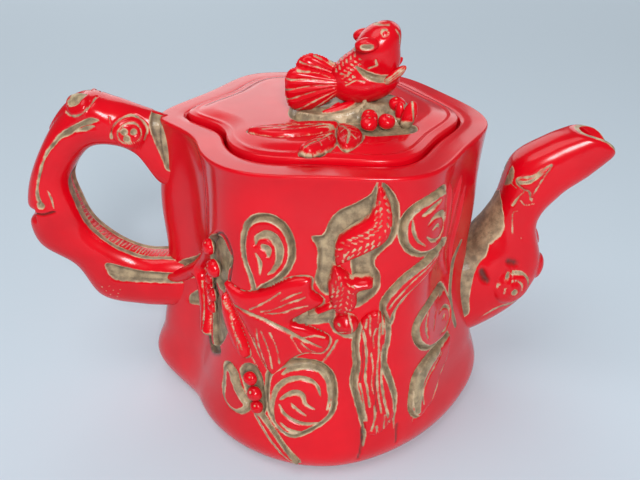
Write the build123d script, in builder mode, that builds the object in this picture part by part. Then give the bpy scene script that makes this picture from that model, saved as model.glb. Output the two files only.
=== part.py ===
"""A hexagonal teapot shaped like an old vine stump, with a goldfish on its lid.

Frame: origin at the centre of the flat foot, +X towards the spout, +Z up, so the
handle is at -X and the more decorated face is at -Y.  All sizes are in millimetres.
"""
from build123d import *
import math
import os

os.makedirs("parts", exist_ok=True)

# ---------------------------------------------------------------- driving sizes
POT_HEIGHT = 92.0  # foot to the flat rim
WALL = 6.0  # side wall of the pot
FLOOR = 6.0  # thickness of the pot's bottom
RIM_BAND = 8.0  # flat rim between the outside and the lid
LID_GAP = 0.7  # clearance all round the lid in its seat
SEAT_DEPTH = 4.0  # how far the seat lies below the rim
LEDGE = 4.0  # width of the ledge that carries the lid
LID_LIFT = 0.2  # bedding gap between the lid and its ledge
LID_TOP = 94.6  # the lid's flat top
LID_SLOPE = 2.0  # how far the lid's sloped edge runs inwards
SKIRT_DROP = 6.0  # locating skirt below the ledge
SKIRT_WALL = 2.5
SKIRT_GAP = 0.8  # clearance between the skirt and the pot's mouth
REACH = 80.0  # long enough for a prism to pass through the wall

# The outline has six lobes with a flute between each pair.  Its radius is given in
# twelve directions (degrees) at each height.
DIRECTIONS = (-146, -113, -88, -57, -31, -6, 26, 58, 90, 120, 148, 180)
OUTLINES = {
    0: (44, 46, 47, 46.5, 47.5, 49, 46, 47.5, 45, 47.5, 45.5, 51),
    7: (47, 50, 51, 50, 50.5, 53, 49.5, 51.5, 48, 51.5, 49.5, 56),
    26: (43.5, 48.5, 48.5, 49.8, 48, 52, 47.5, 51, 47, 51, 48, 54.2),
    50: (39.5, 46.5, 45.6, 48.5, 43.5, 48.5, 43.5, 48.5, 44.5, 48.5, 43.5, 51.2),
    72: (37.8, 44.2, 42.8, 47.8, 42.5, 47, 43, 47.2, 43, 47.2, 42, 48.6),
    92: (38.4, 43, 41.5, 47.5, 44, 47.2, 43.8, 47, 43, 47, 41.3, 46),
}
RIM = OUTLINES[92]

# Handle and spout are branches.  Each station gives the branch's outer edge, its inner
# edge (both x, z in the plane of symmetry) and its half width across that plane.
HANDLE_STATIONS = (
    ((-44, 92), (-42, 68), 4.5),
    ((-51, 94.5), (-48.5, 71), 5.0),
    ((-59.5, 97.3), (-53, 80), 6.5),
    ((-67.5, 98.6), (-60, 83.6), 7.0),
    ((-77, 90.5), (-68, 82.6), 6.8),
    ((-86.5, 75.5), (-75, 73.5), 6.8),
    ((-90.4, 63), (-74, 64), 7.2),
    ((-89.5, 51), (-71.4, 57), 7.2),
    ((-79.5, 42.5), (-66, 51), 7.0),
    ((-73, 30), (-60, 47.6), 7.2),
    ((-60, 26.6), (-55, 46), 7.5),
    ((-49, 26), (-49, 46), 7.5),
    ((-43, 26.5), (-43, 45.5), 7.0),
)
SPOUT_STATIONS = (
    ((42, 15), (38, 50), 13.0),
    ((53, 19), (46, 51), 12.5),
    ((66, 29), (50, 56), 11.0),
    ((71.5, 42), (52.5, 60.5), 9.0),
    ((68, 58), (55, 66), 7.8),
    ((73.5, 67.5), (58, 78.5), 7.6),
    ((81, 74), (67, 85), 7.2),
    ((87.3, 80.7), (75, 88.3), 6.6),
)
LIMB_ROUNDING = 0.9  # corner radius of a limb's section over its smaller half width
BORE_RADIUS = 5.0
BORE_PATH = (
    (28, 0, 35), (50, 0, 35.5), (60.5, 0, 49), (61.8, 0, 63), (67, 0, 73.5), (81, 0, 84.6), (92, 0, 92),
)


# ---------------------------------------------------------------- shared geometry
def ring(radii, inset=0.0):
    """The points of one outline, moved towards the axis by inset."""
    points = []
    for direction, radius in zip(DIRECTIONS, radii):
        angle = math.radians(direction)
        reach = radius - inset
        points.append((reach * math.cos(angle), reach * math.sin(angle)))
    return points


def stump(inset=0.0, low=0.0, high=POT_HEIGHT):
    """The pot's outer form moved in by inset, between two heights."""
    with BuildPart() as form:
        for height, radii in OUTLINES.items():
            with BuildSketch(Plane.XY.offset(height)):
                with BuildLine():
                    Spline(*ring(radii, inset), periodic=True)
                make_face()
        loft()
        if low > 0:
            split(bisect_by=Plane.XY.offset(low), keep=Keep.TOP)
        if high < POT_HEIGHT:
            split(bisect_by=Plane.XY.offset(high), keep=Keep.BOTTOM)
    return form.part


def rim_prism(inset, low, high):
    """An upright prism of the rim's outline moved in by inset."""
    with BuildPart() as form:
        with BuildSketch(Plane.XY.offset(low)):
            with BuildLine():
                Spline(*ring(RIM, inset), periodic=True)
            make_face()
        extrude(amount=high - low)
    return form.part


def branch(stations):
    """A limb through the stations, with well rounded sections."""
    with BuildPart() as limb:
        for outer, inner, half_width in stations:
            middle = ((outer[0] + inner[0]) / 2, 0, (outer[1] + inner[1]) / 2)
            across = (outer[0] - inner[0], 0, outer[1] - inner[1])
            depth = math.hypot(across[0], across[2])
            rounding = LIMB_ROUNDING * min(depth / 2, half_width)
            with BuildSketch(Plane(origin=middle, x_dir=across, z_dir=(across[2], 0, -across[0]))):
                RectangleRounded(depth, 2 * half_width, rounding)
        loft()
    return limb.part


def facing(azimuth):
    """The upright plane through the axis whose normal points out at azimuth degrees."""
    angle = math.radians(azimuth)
    outwards = (math.cos(angle), math.sin(angle), 0)
    to_the_right = (-math.sin(angle), math.cos(angle), 0)
    return Plane(origin=(0, 0, 0), x_dir=to_the_right, z_dir=outwards)


def save(part, label):
    part.label = label
    export_step(part, f"parts/{label}.step")


OUTER_FORM = stump()
SKINS = {}


def skin(height):
    """A layer of the given height that lies on the pot's wall."""
    if height not in SKINS:
        outside = stump(-height)
        with BuildPart() as layer:
            add(outside)
            add(OUTER_FORM, mode=Mode.SUBTRACT)
        SKINS[height] = layer.part
    return SKINS[height]


def sprig(label, azimuth, height, outlines=(), discs=()):
    """One applied ornament of even height on the wall.

    Outlines are closed smooth curves, and discs are (x, z, radius), all in the plane
    that faces azimuth: x to the right as seen from outside, z up.
    """
    layer = skin(height)
    with BuildPart() as piece:
        with BuildSketch(facing(azimuth)):
            for points in outlines:
                with BuildLine():
                    Spline(*points, periodic=True)
                make_face()
            for x, z, radius in discs:
                with Locations((x, z)):
                    Circle(radius)
        extrude(amount=REACH)
        add(layer, mode=Mode.INTERSECT)
    save(piece.part, label)


# ---------------------------------------------------------------- pot and its limbs
HANDLE_FORM = branch(HANDLE_STATIONS)
SPOUT_FORM = branch(SPOUT_STATIONS)

with BuildPart() as spout_bore:
    with BuildLine() as bore_line:
        Spline(*BORE_PATH)
    with BuildSketch(Plane(origin=BORE_PATH[0], z_dir=bore_line.line % 0)):
        Circle(BORE_RADIUS)
    sweep()

SEAT_LEVEL = POT_HEIGHT - SEAT_DEPTH
CAVITY_TOP = SEAT_LEVEL - LEDGE
CAVITY = stump(WALL, FLOOR, CAVITY_TOP)
MOUTH = rim_prism(RIM_BAND + LEDGE, CAVITY_TOP - 1, SEAT_LEVEL)
LID_SEAT = rim_prism(RIM_BAND, SEAT_LEVEL, POT_HEIGHT + 1)

with BuildPart() as pot_body:
    add(OUTER_FORM)
    add(CAVITY, mode=Mode.SUBTRACT)
    add(MOUTH, mode=Mode.SUBTRACT)
    add(LID_SEAT, mode=Mode.SUBTRACT)
    add(spout_bore.part, mode=Mode.SUBTRACT)
save(pot_body.part, "pot_body")

with BuildPart() as spout:
    add(SPOUT_FORM)
    add(OUTER_FORM, mode=Mode.SUBTRACT)
    add(spout_bore.part, mode=Mode.SUBTRACT)
save(spout.part, "spout")

with BuildPart() as handle:
    add(HANDLE_FORM)
    add(OUTER_FORM, mode=Mode.SUBTRACT)
save(handle.part, "handle")


# ---------------------------------------------------------------- ornaments, front face
FRONT = -90
HANDLE_SIDE = -150
HANDLE_FLUTE = -140
SPOUT_FLUTE = -45
SPOUT_SHOULDER = -62
BACK = 90
LOW_RELIEF = 1.2
MID_RELIEF = 2.0
HIGH_RELIEF = 3.2

TWIG = ((-25, 43), (-18, 41.5), (-11, 42), (-4, 48.5), (4, 60), (6.5, 57),
        (2.5, 50), (-1, 44), (3, 36), (6, 29), (2, 28.5), (-2, 35), (-7, 38),
        (-14, 36.5), (-25, 35.5))
sprig("handle_twig", HANDLE_SIDE, HIGH_RELIEF, [TWIG])

UPPER_BERRIES = ((5, 66, 2.2), (8, 61.4, 2.5))
LOWER_BERRIES = ((-1.2, 51.5, 1.9), (-3.2, 46.4, 1.9), (2.8, 48.6, 1.9), (1.4, 44, 1.9))
BERRY_TRIO = ((-19.2, 30.4, 2.2), (-18, 25.8, 2.3), (-18, 21.4, 2.0))
sprig("upper_berries", HANDLE_FLUTE, HIGH_RELIEF, discs=UPPER_BERRIES)
sprig("lower_berries", HANDLE_FLUTE, HIGH_RELIEF, discs=LOWER_BERRIES)
sprig("berry_trio", FRONT, HIGH_RELIEF, discs=BERRY_TRIO)

NARROW_LEAF = ((-26, 55), (-23.5, 50), (-21, 44), (-19.5, 38), (-21.5, 36.5), (-24.5, 41), (-26.5, 48))
sprig("narrow_leaf", FRONT, MID_RELIEF, [NARROW_LEAF])

VINE_LEAF = ((-25.5, 59), (-20, 58.5), (-14, 61), (-8, 64.5), (-2.5, 65), (-2, 60.5), (1, 58),
             (-4, 54.5), (-7.5, 52), (-3, 50), (2.5, 46.5), (1, 43), (-4, 43.5), (-8, 40),
             (-12.5, 33.5), (-16, 38), (-18.5, 44), (-22, 51))
sprig("vine_leaf", FRONT, MID_RELIEF, [VINE_LEAF])

TEARDROP = ((-13, 82), (-18, 79.5), (-20, 74), (-19.5, 66), (-17.5, 60), (-16.5, 55.5),
            (-13.5, 58), (-9, 62), (-6.5, 67), (-6.5, 74), (-8.5, 79.5))
sprig("teardrop_scroll", FRONT, MID_RELIEF, [TEARDROP])

SQUIRREL_TAIL = ((14.2, 90), (17.5, 85), (18, 79), (16, 75), (11, 72), (6, 69.5), (3.5, 67.2),
                 (3.2, 71.5), (4.2, 76), (8, 79), (12.5, 82), (13, 86))
sprig("squirrel_tail", FRONT, MID_RELIEF, [SQUIRREL_TAIL])

SQUIRREL_BODY = ((3.5, 68), (7, 67), (9, 64.5), (13, 65), (13.4, 62.6), (9.8, 61), (9.5, 57.5),
                 (11, 53.5), (9.5, 49), (6, 48), (3.5, 50), (3, 54), (2.6, 58), (1.8, 63))
sprig("squirrel", FRONT, HIGH_RELIEF, [SQUIRREL_BODY])

TRUNK = ((15.5, 54), (17.5, 50), (18, 46), (17, 38), (19.5, 31), (20.5, 24), (20.5, 17),
         (17, 13.5), (13.5, 14), (12, 20), (10.5, 27), (9.5, 32), (10.5, 38), (10, 44),
         (11.5, 50))
TRUNK_BRANCH = ((19, 50), (19.5, 54.5), (22.5, 59), (27, 62.5), (32, 66.5), (31, 68.5),
                (25, 65.3), (20.5, 61.5), (17, 55.5))
sprig("tree_trunk", FRONT, MID_RELIEF, [TRUNK])
sprig("trunk_branch", FRONT, MID_RELIEF, [TRUNK_BRANCH])

UPPER_SCROLL = ((10, 86.5), (4, 84.5), (-1, 81), (-2.5, 76), (0.5, 71.5), (6, 69.5),
                (12, 70), (14, 75), (13.5, 81.5))
sprig("upper_scroll", SPOUT_SHOULDER, MID_RELIEF, [UPPER_SCROLL])

SIDE_SCROLL = ((8, 50), (-1, 49.5), (-8, 46.5), (-9.5, 41), (-6, 36), (2, 33.5), (9, 34.5),
               (11, 38), (10.5, 44))
BUD_LEAF = ((9.5, 30), (2.5, 30.5), (-5, 28.5), (-10.5, 24), (-11, 17), (-8.5, 13), (-4.5, 14),
            (-1, 17.5), (4, 22), (9, 26))
sprig("side_scroll", SPOUT_FLUTE, MID_RELIEF, [SIDE_SCROLL])
sprig("bud_leaf", SPOUT_FLUTE, MID_RELIEF, [BUD_LEAF])

SPIRAL = ((-14.5, 30), (-13, 35.5), (-9, 38.5), (-4, 38.8), (0.5, 37), (3.5, 33), (4, 27),
          (1.5, 21.5), (-4, 18.5), (-9.5, 18.5), (-13.5, 22))
CRESCENT = ((-27.5, 31), (-25.5, 30), (-25, 26.5), (-23, 23.5), (-21.5, 19.5), (-23.5, 17.5),
            (-26.5, 19.5), (-28.5, 24))
LOWER_STEM = ((-19, 20), (-16.5, 19.5), (-13, 14.5), (-9, 9.5), (-6, 6), (-7.5, 5), (-11, 8), (-15.5, 13.5))
sprig("spiral_scroll", FRONT, MID_RELIEF, [SPIRAL])
sprig("crescent_scroll", FRONT, MID_RELIEF, [CRESCENT])
sprig("lower_stem", FRONT, LOW_RELIEF, [LOWER_STEM])

# ---------------------------------------------------------------- ornaments, back face
BACK_BRANCH = ((34, 44), (28, 50), (20, 54), (11, 55.5), (2, 53.5), (-8, 55.5), (-17, 61), (-24, 69),
               (-26.5, 68), (-20, 58), (-10, 51.5), (2, 49.5), (12, 51), (20, 50), (27, 45), (33, 40))
BACK_LEAF = ((3, 56.5), (-4, 60), (-6, 67), (-3, 74), (2, 80), (8, 81), (7, 74.5), (12.5, 72),
             (12, 65), (8, 59.5))
BACK_LOW_LEAF = ((-4, 48.5), (-10, 46), (-15.5, 40), (-17, 31.5), (-11, 31), (-7.5, 26.5), (-3, 32),
                 (1, 38), (0, 45))
BACK_SCROLL = ((18, 46), (12.5, 42.5), (10.5, 36), (11.5, 29), (17, 25), (23.5, 26), (27.5, 31.5),
               (27, 39), (23, 44.5))
BACK_CURL = ((19, 59), (15.5, 64), (16.5, 71), (21.5, 75.5), (27, 73.5), (29, 67.5), (26, 61))
BACK_BERRIES = ((-20.2, 51, 2.4), (-24, 47.5, 2.3), (-20.5, 46, 2.4))
sprig("back_branch", BACK, MID_RELIEF, [BACK_BRANCH])
sprig("back_leaf", BACK, MID_RELIEF, [BACK_LEAF])
sprig("back_low_leaf", BACK, MID_RELIEF, [BACK_LOW_LEAF])
sprig("back_scroll", BACK, MID_RELIEF, [BACK_SCROLL])
sprig("back_curl", BACK, MID_RELIEF, [BACK_CURL])
sprig("back_berries", BACK, HIGH_RELIEF, discs=BACK_BERRIES)

# ---------------------------------------------------------------- lid
LID_BOTTOM = SEAT_LEVEL + LID_LIFT
LID_SHOULDER = POT_HEIGHT + 0.6  # where the lid's edge starts to slope
SKIRT_BOTTOM = SEAT_LEVEL - SKIRT_DROP
SKIRT_INSET = RIM_BAND + LEDGE + SKIRT_GAP
LID_PLATE = rim_prism(RIM_BAND + LID_GAP, LID_BOTTOM, LID_SHOULDER)
SKIRT_OUTSIDE = rim_prism(SKIRT_INSET, SKIRT_BOTTOM, LID_BOTTOM)
SKIRT_INSIDE = rim_prism(SKIRT_INSET + SKIRT_WALL, SKIRT_BOTTOM, LID_BOTTOM)

with BuildPart() as lid:
    add(LID_PLATE)
    with BuildSketch(Plane.XY.offset(LID_SHOULDER)):
        with BuildLine():
            Spline(*ring(RIM, RIM_BAND + LID_GAP), periodic=True)
        make_face()
    with BuildSketch(Plane.XY.offset(LID_TOP)):
        with BuildLine():
            Spline(*ring(RIM, RIM_BAND + LID_GAP + LID_SLOPE), periodic=True)
        make_face()
    loft()
    add(SKIRT_OUTSIDE)
    add(SKIRT_INSIDE, mode=Mode.SUBTRACT)
save(lid.part, "lid")

# ---------------------------------------------------------------- goldfish and its vine
FISH_Y = -4.0
BELLY = (12.5, FISH_Y, 103.0)
HEAD = (15.6, FISH_Y, 111.4)
MOUND_TOP = 98.4


def egg(centre, half_length, half_width, lean=0.0):
    """An ellipsoid, round about its long axis, which leans up from +X by lean degrees."""
    with BuildPart() as form:
        Sphere(1)
        scale(by=(half_length, half_width, half_width))
    return Pos(*centre) * Rot(0, -lean, 0) * form.part


def pillow(outline, low, high, shrink=0.75):
    """A low form whose outline, in plan, draws in towards its top."""
    middle_x = sum(x for x, y in outline) / len(outline)
    middle_y = sum(y for x, y in outline) / len(outline)
    with BuildPart() as form:
        for height, size in ((low, 1.0), (high, shrink)):
            points = []
            for x, y in outline:
                points.append((middle_x + (x - middle_x) * size, middle_y + (y - middle_y) * size))
            with BuildSketch(Plane.XY.offset(height)):
                with BuildLine():
                    Spline(*points, periodic=True)
                make_face()
        loft()
    return form.part


MOUND = ((-8, -4), (-6.5, -10), (0, -12.5), (8, -12), (15, -12.5), (22, -13), (25.5, -8),
         (25, 0), (19, 6), (10, 8), (0, 6), (-6, 2))
VINE_MOUND = pillow(MOUND, LID_TOP, MOUND_TOP)
save(VINE_MOUND, "vine_mound")

BELLY_FORM = egg(BELLY, 9.5, 5.6, 12)
HEAD_FORM = egg(HEAD, 7.2, 6.3, 62)
with BuildPart() as fish_body:
    add(BELLY_FORM)
    add(HEAD_FORM)
save(fish_body.part, "fish_body")

FISH_TAIL = ((6.5, 104.5), (2, 107.2), (-2.5, 109), (-6, 108.2), (-7.5, 105.8), (-9.6, 103.5),
             (-9.8, 99.5), (-8, 96.5), (-3.5, 95.6), (1, 97), (4.5, 99.8), (6.6, 102.2))
TAIL_THICKNESS = 5.0
with BuildPart() as fish_tail:
    with BuildSketch(Plane(origin=(0, FISH_Y + TAIL_THICKNESS / 2, 0), x_dir=(1, 0, 0), z_dir=(0, -1, 0))):
        with BuildLine():
            Spline(*FISH_TAIL, periodic=True)
        make_face()
    extrude(amount=TAIL_THICKNESS)
    add(fish_body.part, mode=Mode.SUBTRACT)
    add(VINE_MOUND, mode=Mode.SUBTRACT)
save(fish_tail.part, "fish_tail")

EYE_OFFSET = 5.6
FIN_OFFSET = 4.2
EYES = [egg((12.6, FISH_Y + side * EYE_OFFSET, 112.4), 3.1, 1.9, 10) for side in (-1, 1)]
FINS = [egg((20.0, FISH_Y + side * FIN_OFFSET, 106.0), 3.6, 1.5, 35) for side in (-1, 1)]
for label, pair in (("fish_eyes", EYES), ("fish_fins", FINS)):
    with BuildPart() as features:
        add(pair)
        add(fish_body.part, mode=Mode.SUBTRACT)
    save(features.part, label)

LEAF_TOP = LID_TOP + 1.8
LID_LEAVES = {
    "lid_leaf_left": (
        (5, -14.5), (-1, -13.5), (-8, -14.5), (-14, -16.5), (-19, -18.5), (-15, -21.5), (-8, -22.5), (0, -20),
    ),
    "lid_leaf_front": (
        (3.5, -21.5), (0, -23), (-3, -27), (-5, -31), (-2.5, -33), (1.5, -30.5), (4, -26.5),
    ),
    "lid_leaf_right": (
        (5.2, -16), (9, -17), (11, -21.5), (10, -26.5), (6.5, -30), (4.6, -26), (4.4, -20),
    ),
}
for label, outline in LID_LEAVES.items():
    blade = pillow(outline, LID_TOP, LEAF_TOP)
    with BuildPart() as leaf:
        add(blade)
        add(VINE_MOUND, mode=Mode.SUBTRACT)
    save(leaf.part, label)

LID_BERRIES = ((13.2, -14.6, 96.8), (12.8, -18.6, 96.6), (17.6, -16.8, 96.4), (21.0, -9.5, 98.6))
BERRY_RADIUS = 2.3
with BuildPart() as lid_berries:
    with Locations(*LID_BERRIES):
        Sphere(BERRY_RADIUS)
    add(VINE_MOUND, mode=Mode.SUBTRACT)
    add(lid.part, mode=Mode.SUBTRACT)
save(lid_berries.part, "lid_berries")

BUD_FORM = egg((23.2, -14.6, 97.6), 4.0, 2.2, 80)
with BuildPart() as lid_bud:
    add(BUD_FORM)
    add(VINE_MOUND, mode=Mode.SUBTRACT)
    add(lid.part, mode=Mode.SUBTRACT)
    add(lid_berries.part, mode=Mode.SUBTRACT)
save(lid_bud.part, "lid_bud")
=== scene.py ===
"""A six-lobed, stump-shaped teapot in red lacquer, with a goldfish lid, built around its CAD frame.

Shapes are worked in millimetres and become metres when a mesh is made. An ornament is
modelled like a potter's sprig: a sheet of clay over an upright plane that faces it, in
places (u, z), u to the right as seen from outside, which is then laid on the pot's wall.
"""
import math

import bmesh
import bpy
import numpy as np
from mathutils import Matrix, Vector
from mathutils.bvhtree import BVHTree


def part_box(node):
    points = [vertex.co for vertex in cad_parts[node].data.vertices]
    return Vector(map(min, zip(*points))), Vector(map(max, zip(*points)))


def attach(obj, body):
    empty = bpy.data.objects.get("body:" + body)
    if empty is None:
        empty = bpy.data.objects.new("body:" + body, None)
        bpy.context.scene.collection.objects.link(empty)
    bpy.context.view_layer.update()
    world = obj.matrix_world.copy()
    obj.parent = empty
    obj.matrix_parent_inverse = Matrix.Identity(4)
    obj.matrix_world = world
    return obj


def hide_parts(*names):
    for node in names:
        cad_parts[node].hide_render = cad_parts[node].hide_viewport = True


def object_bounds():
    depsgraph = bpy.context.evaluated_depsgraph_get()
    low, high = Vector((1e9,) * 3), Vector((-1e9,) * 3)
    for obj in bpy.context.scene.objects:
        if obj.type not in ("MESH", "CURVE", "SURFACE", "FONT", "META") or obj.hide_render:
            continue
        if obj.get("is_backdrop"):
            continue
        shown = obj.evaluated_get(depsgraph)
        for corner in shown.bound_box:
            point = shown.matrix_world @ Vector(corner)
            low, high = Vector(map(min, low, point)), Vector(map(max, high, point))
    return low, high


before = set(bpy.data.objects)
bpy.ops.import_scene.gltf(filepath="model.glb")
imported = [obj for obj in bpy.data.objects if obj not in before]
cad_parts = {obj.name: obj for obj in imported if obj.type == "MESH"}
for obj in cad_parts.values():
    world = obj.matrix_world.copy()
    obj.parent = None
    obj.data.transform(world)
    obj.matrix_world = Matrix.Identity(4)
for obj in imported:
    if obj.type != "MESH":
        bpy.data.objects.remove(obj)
cad_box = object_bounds()

MM = 0.001
FAR = -4.0  # how far outside an outline counts as far away, in mm
FIRST_RADIUS = 48.0  # first guess of the wall's radius, in mm
AWAY = 999.0  # where a place is put that faces away from the carving, in mm

# ---------------------------------------------------------------- sizes read from the frame
POT_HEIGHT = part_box("pot_body")[1].z / MM
LID_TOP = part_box("lid")[1].z / MM
SKIRT_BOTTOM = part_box("lid")[0].z / MM

# ---------------------------------------------------------------- sizes repeated from part.py, in mm
RIM_BAND = 8.0  # flat rim between the outside and the lid
LID_GAP = 0.7
LEDGE = 4.0
WALL = 6.0
FLOOR = 6.0
SKIRT_WALL = 2.5
SEAT_LEVEL = POT_HEIGHT - 4.0
LID_BOTTOM = SEAT_LEVEL + 0.2
LID_SHOULDER = LID_TOP - 2.0

# ---------------------------------------------------------------- directions of the faces, in degrees

FRONT, BACK = -90, 90
HANDLE_SIDE, HANDLE_FLUTE = -150, -140
SPOUT_FLUTE, SPOUT_SHOULDER, SPOUT_SEAM = -45, -62, -30


# ---------------------------------------------------------------- lines and distances
def smooth(share):
    """0 below 0, 1 above 1, and a soft step between."""
    share = np.clip(share, 0.0, 1.0)
    return share * share * (3 - 2 * share)


def flowing(points, closed=False, steps=6):
    """A smooth line through the points, whatever numbers each point holds."""
    knots = np.array(points, float)
    if closed:
        padded = np.vstack([knots[-1:], knots, knots[:2]])
    else:
        padded = np.vstack([2 * knots[:1] - knots[1:2], knots, 2 * knots[-1:] - knots[-2:-1]])
    t = np.linspace(0, 1, steps, endpoint=False)[:, None]
    spans = []
    for a, b, c, d in zip(padded, padded[1:], padded[2:], padded[3:]):
        bend = (2 * a - 5 * b + 4 * c - d) * t**2 + (3 * b - a - 3 * c + d) * t**3
        spans.append(0.5 * (2 * b + (c - a) * t + bend))
    spans.append(knots[:1] if closed else knots[-1:])
    return np.vstack(spans)


def near(u, z, line, margin):
    """The places within margin of a line's box."""
    low, high = line[:, :2].min(0) - margin, line[:, :2].max(0) + margin
    return (u > low[0]) & (u < high[0]) & (z > low[1]) & (z < high[1])


def inside_stroke(u, z, line):
    """How far each place lies inside a stroke, whose points hold u, z and half width."""
    inside = np.full(u.shape, FAR)
    close = near(u, z, line, line[:, 2].max() - FAR)
    pu, pz = u[close], z[close]
    best = np.full(pu.shape, FAR)
    for (ua, za, wa), (ub, zb, wb) in zip(line, line[1:]):
        du, dz = ub - ua, zb - za
        t = np.clip(((pu - ua) * du + (pz - za) * dz) / (du * du + dz * dz + 1e-9), 0, 1)
        gap = np.hypot(pu - ua - t * du, pz - za - t * dz)
        best = np.maximum(best, wa + t * (wb - wa) - gap)
    inside[close] = best
    return inside


def inside_outline(u, z, line):
    """How far each place lies inside a closed outline, whose points hold u and z."""
    inside = np.full(u.shape, FAR)
    close = near(u, z, line, -FAR)
    pu, pz = u[close], z[close]
    gap = np.full(pu.shape, 99.0)
    within = np.zeros(pu.shape, bool)
    for (ua, za), (ub, zb) in zip(line, line[1:]):
        du, dz = ub - ua, zb - za
        t = np.clip(((pu - ua) * du + (pz - za) * dz) / (du * du + dz * dz + 1e-9), 0, 1)
        gap = np.minimum(gap, np.hypot(pu - ua - t * du, pz - za - t * dz))
        crossing = (za > pz) != (zb > pz)
        within ^= crossing & (pu < du * (pz - za) / (dz if abs(dz) > 1e-9 else 1e-9) + ua)
    inside[close] = np.maximum(np.where(within, gap, -gap), FAR)
    return inside


def oval(u, z, wide, high):
    """Eight points round an oval with these half sizes."""
    turns = np.linspace(0, 2 * math.pi, 9)[:-1]
    return [(u + wide * math.cos(turn), z + high * math.sin(turn)) for turn in turns]


class Clay:
    """A surface being worked: its height, how far it lies into patina (mm) and its painted shade."""

    def __init__(self, u, z):
        self.u, self.z = u, z
        self.height = np.zeros(u.shape)
        self.patina = np.full(u.shape, FAR)
        self.painted_shade = np.zeros(u.shape)

    def area(self, points):
        return inside_outline(self.u, self.z, flowing(points, closed=True))

    def stroke(self, points, closed=False):
        return inside_stroke(self.u, self.z, flowing(points, closed))

    def line(self, points, half_width, closed=False):
        return self.stroke([(u, z, half_width) for u, z in points], closed)

    def disc(self, u, z, radius):
        return radius - np.hypot(self.u - u, self.z - z)

    def tan(self, inside):
        """Patina over what lies inside."""
        self.patina = np.maximum(self.patina, inside)

    def bare(self, inside):
        """Red again over what lies inside."""
        self.patina = np.minimum(self.patina, -inside)

    def sink(self, inside, depth, bevel=0.9):
        """Ground lowered to depth, with patina on it and painted shade darkening its corner."""
        floor = -depth * smooth(inside / bevel)
        self.height = np.where(inside > 0, np.minimum(self.height, floor), self.height)
        self.tan(inside)
        # painted shade along the foot of the bevel, where the sunk ground meets its wall
        self.paint_shade(0.55 * np.exp(-(((inside - bevel) / 0.4) ** 2)))

    def cut(self, inside, depth=0.5, bevel=0.5):
        """A groove cut from the surface as it is, with patina in it."""
        self.height = self.height - depth * smooth((inside + 0.15) / bevel)
        self.tan(inside)

    def groove(self, points, depth=0.5, bevel=0.5):
        """A cut along points that hold u, z and half width."""
        self.cut(self.stroke(points), depth, bevel)

    def scratch(self, points, half_width, depth=0.5):
        """A cut of one width along points that hold u and z."""
        self.cut(self.line(points, half_width), depth)

    def moat(self, outline, half_width, depth, bevel=0.9):
        """Lowered ground along a closed outline."""
        self.sink(self.line(outline, half_width, closed=True), depth, bevel)

    def hollow_out(self, outline, depth, bevel=0.9):
        """Lowered ground inside a closed outline."""
        self.sink(self.area(outline), depth, bevel)

    def paint_shade(self, share):
        """At least this share of painted shade, a darkening that stands in for shade."""
        self.painted_shade = np.maximum(self.painted_shade, share)

    def score(self, inside, depth=0.4):
        """A line cut with no patina, darkened inside with painted shade."""
        self.height = self.height - depth * smooth((inside + 0.15) / 0.4)
        # painted shade in the cut
        self.paint_shade(smooth((inside + 0.2) / 0.4))

    def swell(self, inside, height, width):
        """A rounded rise from the outline inwards."""
        rise = np.clip(inside / width, 0, 1)
        self.height = self.height + height * np.sqrt(1 - (1 - rise) ** 2)

    def ticks(self, spine, offsets, spacing, length, half_width=0.2, lean=0.5):
        """Rows of short strokes along a spine, like fur or scales."""
        path = flowing(spine, steps=40)
        steps = np.hypot(*np.diff(path, axis=0).T)
        along = np.concatenate([[0], np.cumsum(steps)])
        for row, offset in enumerate(offsets):
            for place in np.arange(spacing * (0.4 + 0.5 * (row % 2)), along[-1], spacing):
                u, z = (np.interp(place, along, path[:, k]) for k in (0, 1))
                ahead = [np.interp(place + 0.3, along, path[:, k]) for k in (0, 1)]
                turn = math.atan2(ahead[1] - z, ahead[0] - u)
                u, z = u - offset * math.sin(turn), z + offset * math.cos(turn)
                turn += lean * (1 if offset >= 0 else -1)
                end = (u + length * math.cos(turn), z + length * math.sin(turn), half_width * 0.4)
                self.cut(inside_stroke(self.u, self.z, np.array([(u, z, half_width), end])), 0.35, 0.4)


# ---------------------------------------------------------------- the pot's wall
TABLE_TURNS, TABLE_ROWS = 720, 185  # half a degree by half a millimetre


def read_wall():
    """The wall's radius by height and direction, felt from outside on the CAD node."""
    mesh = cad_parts["pot_body"].data
    tree = BVHTree.FromPolygons([v.co for v in mesh.vertices], [p.vertices for p in mesh.polygons])
    table = np.zeros((TABLE_ROWS, TABLE_TURNS))
    for row, height in enumerate(np.linspace(0.05, POT_HEIGHT - 0.05, TABLE_ROWS)):
        for turn in range(TABLE_TURNS):
            angle = 2 * math.pi * turn / TABLE_TURNS
            out = Vector((math.cos(angle), math.sin(angle), 0))
            start = out * 0.2 + Vector((0, 0, height * MM))
            found = tree.ray_cast(start, -out)[0]
            table[row, turn] = found.xy.dot(out.xy) / MM if found else 0
    hole = table < 36  # where a ray goes in through the spout's hole
    table[hole] = table[~hole].mean()
    for _ in range(400):
        around = (np.roll(table, 1, 1) + np.roll(table, -1, 1)) / 2
        upright = (table[np.maximum(np.arange(TABLE_ROWS) - 1, 0)] + table[np.minimum(
            np.arange(TABLE_ROWS) + 1, TABLE_ROWS - 1)]) / 2
        table[hole] = ((around + upright) / 2)[hole]
    for _ in range(16):
        table = table / 2 + (np.roll(table, 1, 1) + np.roll(table, -1, 1)) / 4
        padded = np.vstack([2 * table[:1] - table[1:2], table, 2 * table[-1:] - table[-2:-1]])
        table = padded[1:-1] / 2 + (padded[:-2] + padded[2:]) / 4
    return waisted(table)


# How the visual wall is reshaped from the CAD wall, in mm; LOBE_GAIN is a share of the CAD wall's own lobes.
FOOT_FLARE, FOOT_TOP, LOBE_GAIN = 1.2, 17, 0.35
WAIST_DRAW, WAIST_SIDE_DRAW = 0.8, 1.1
RIM_SPREAD = 0.9


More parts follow.
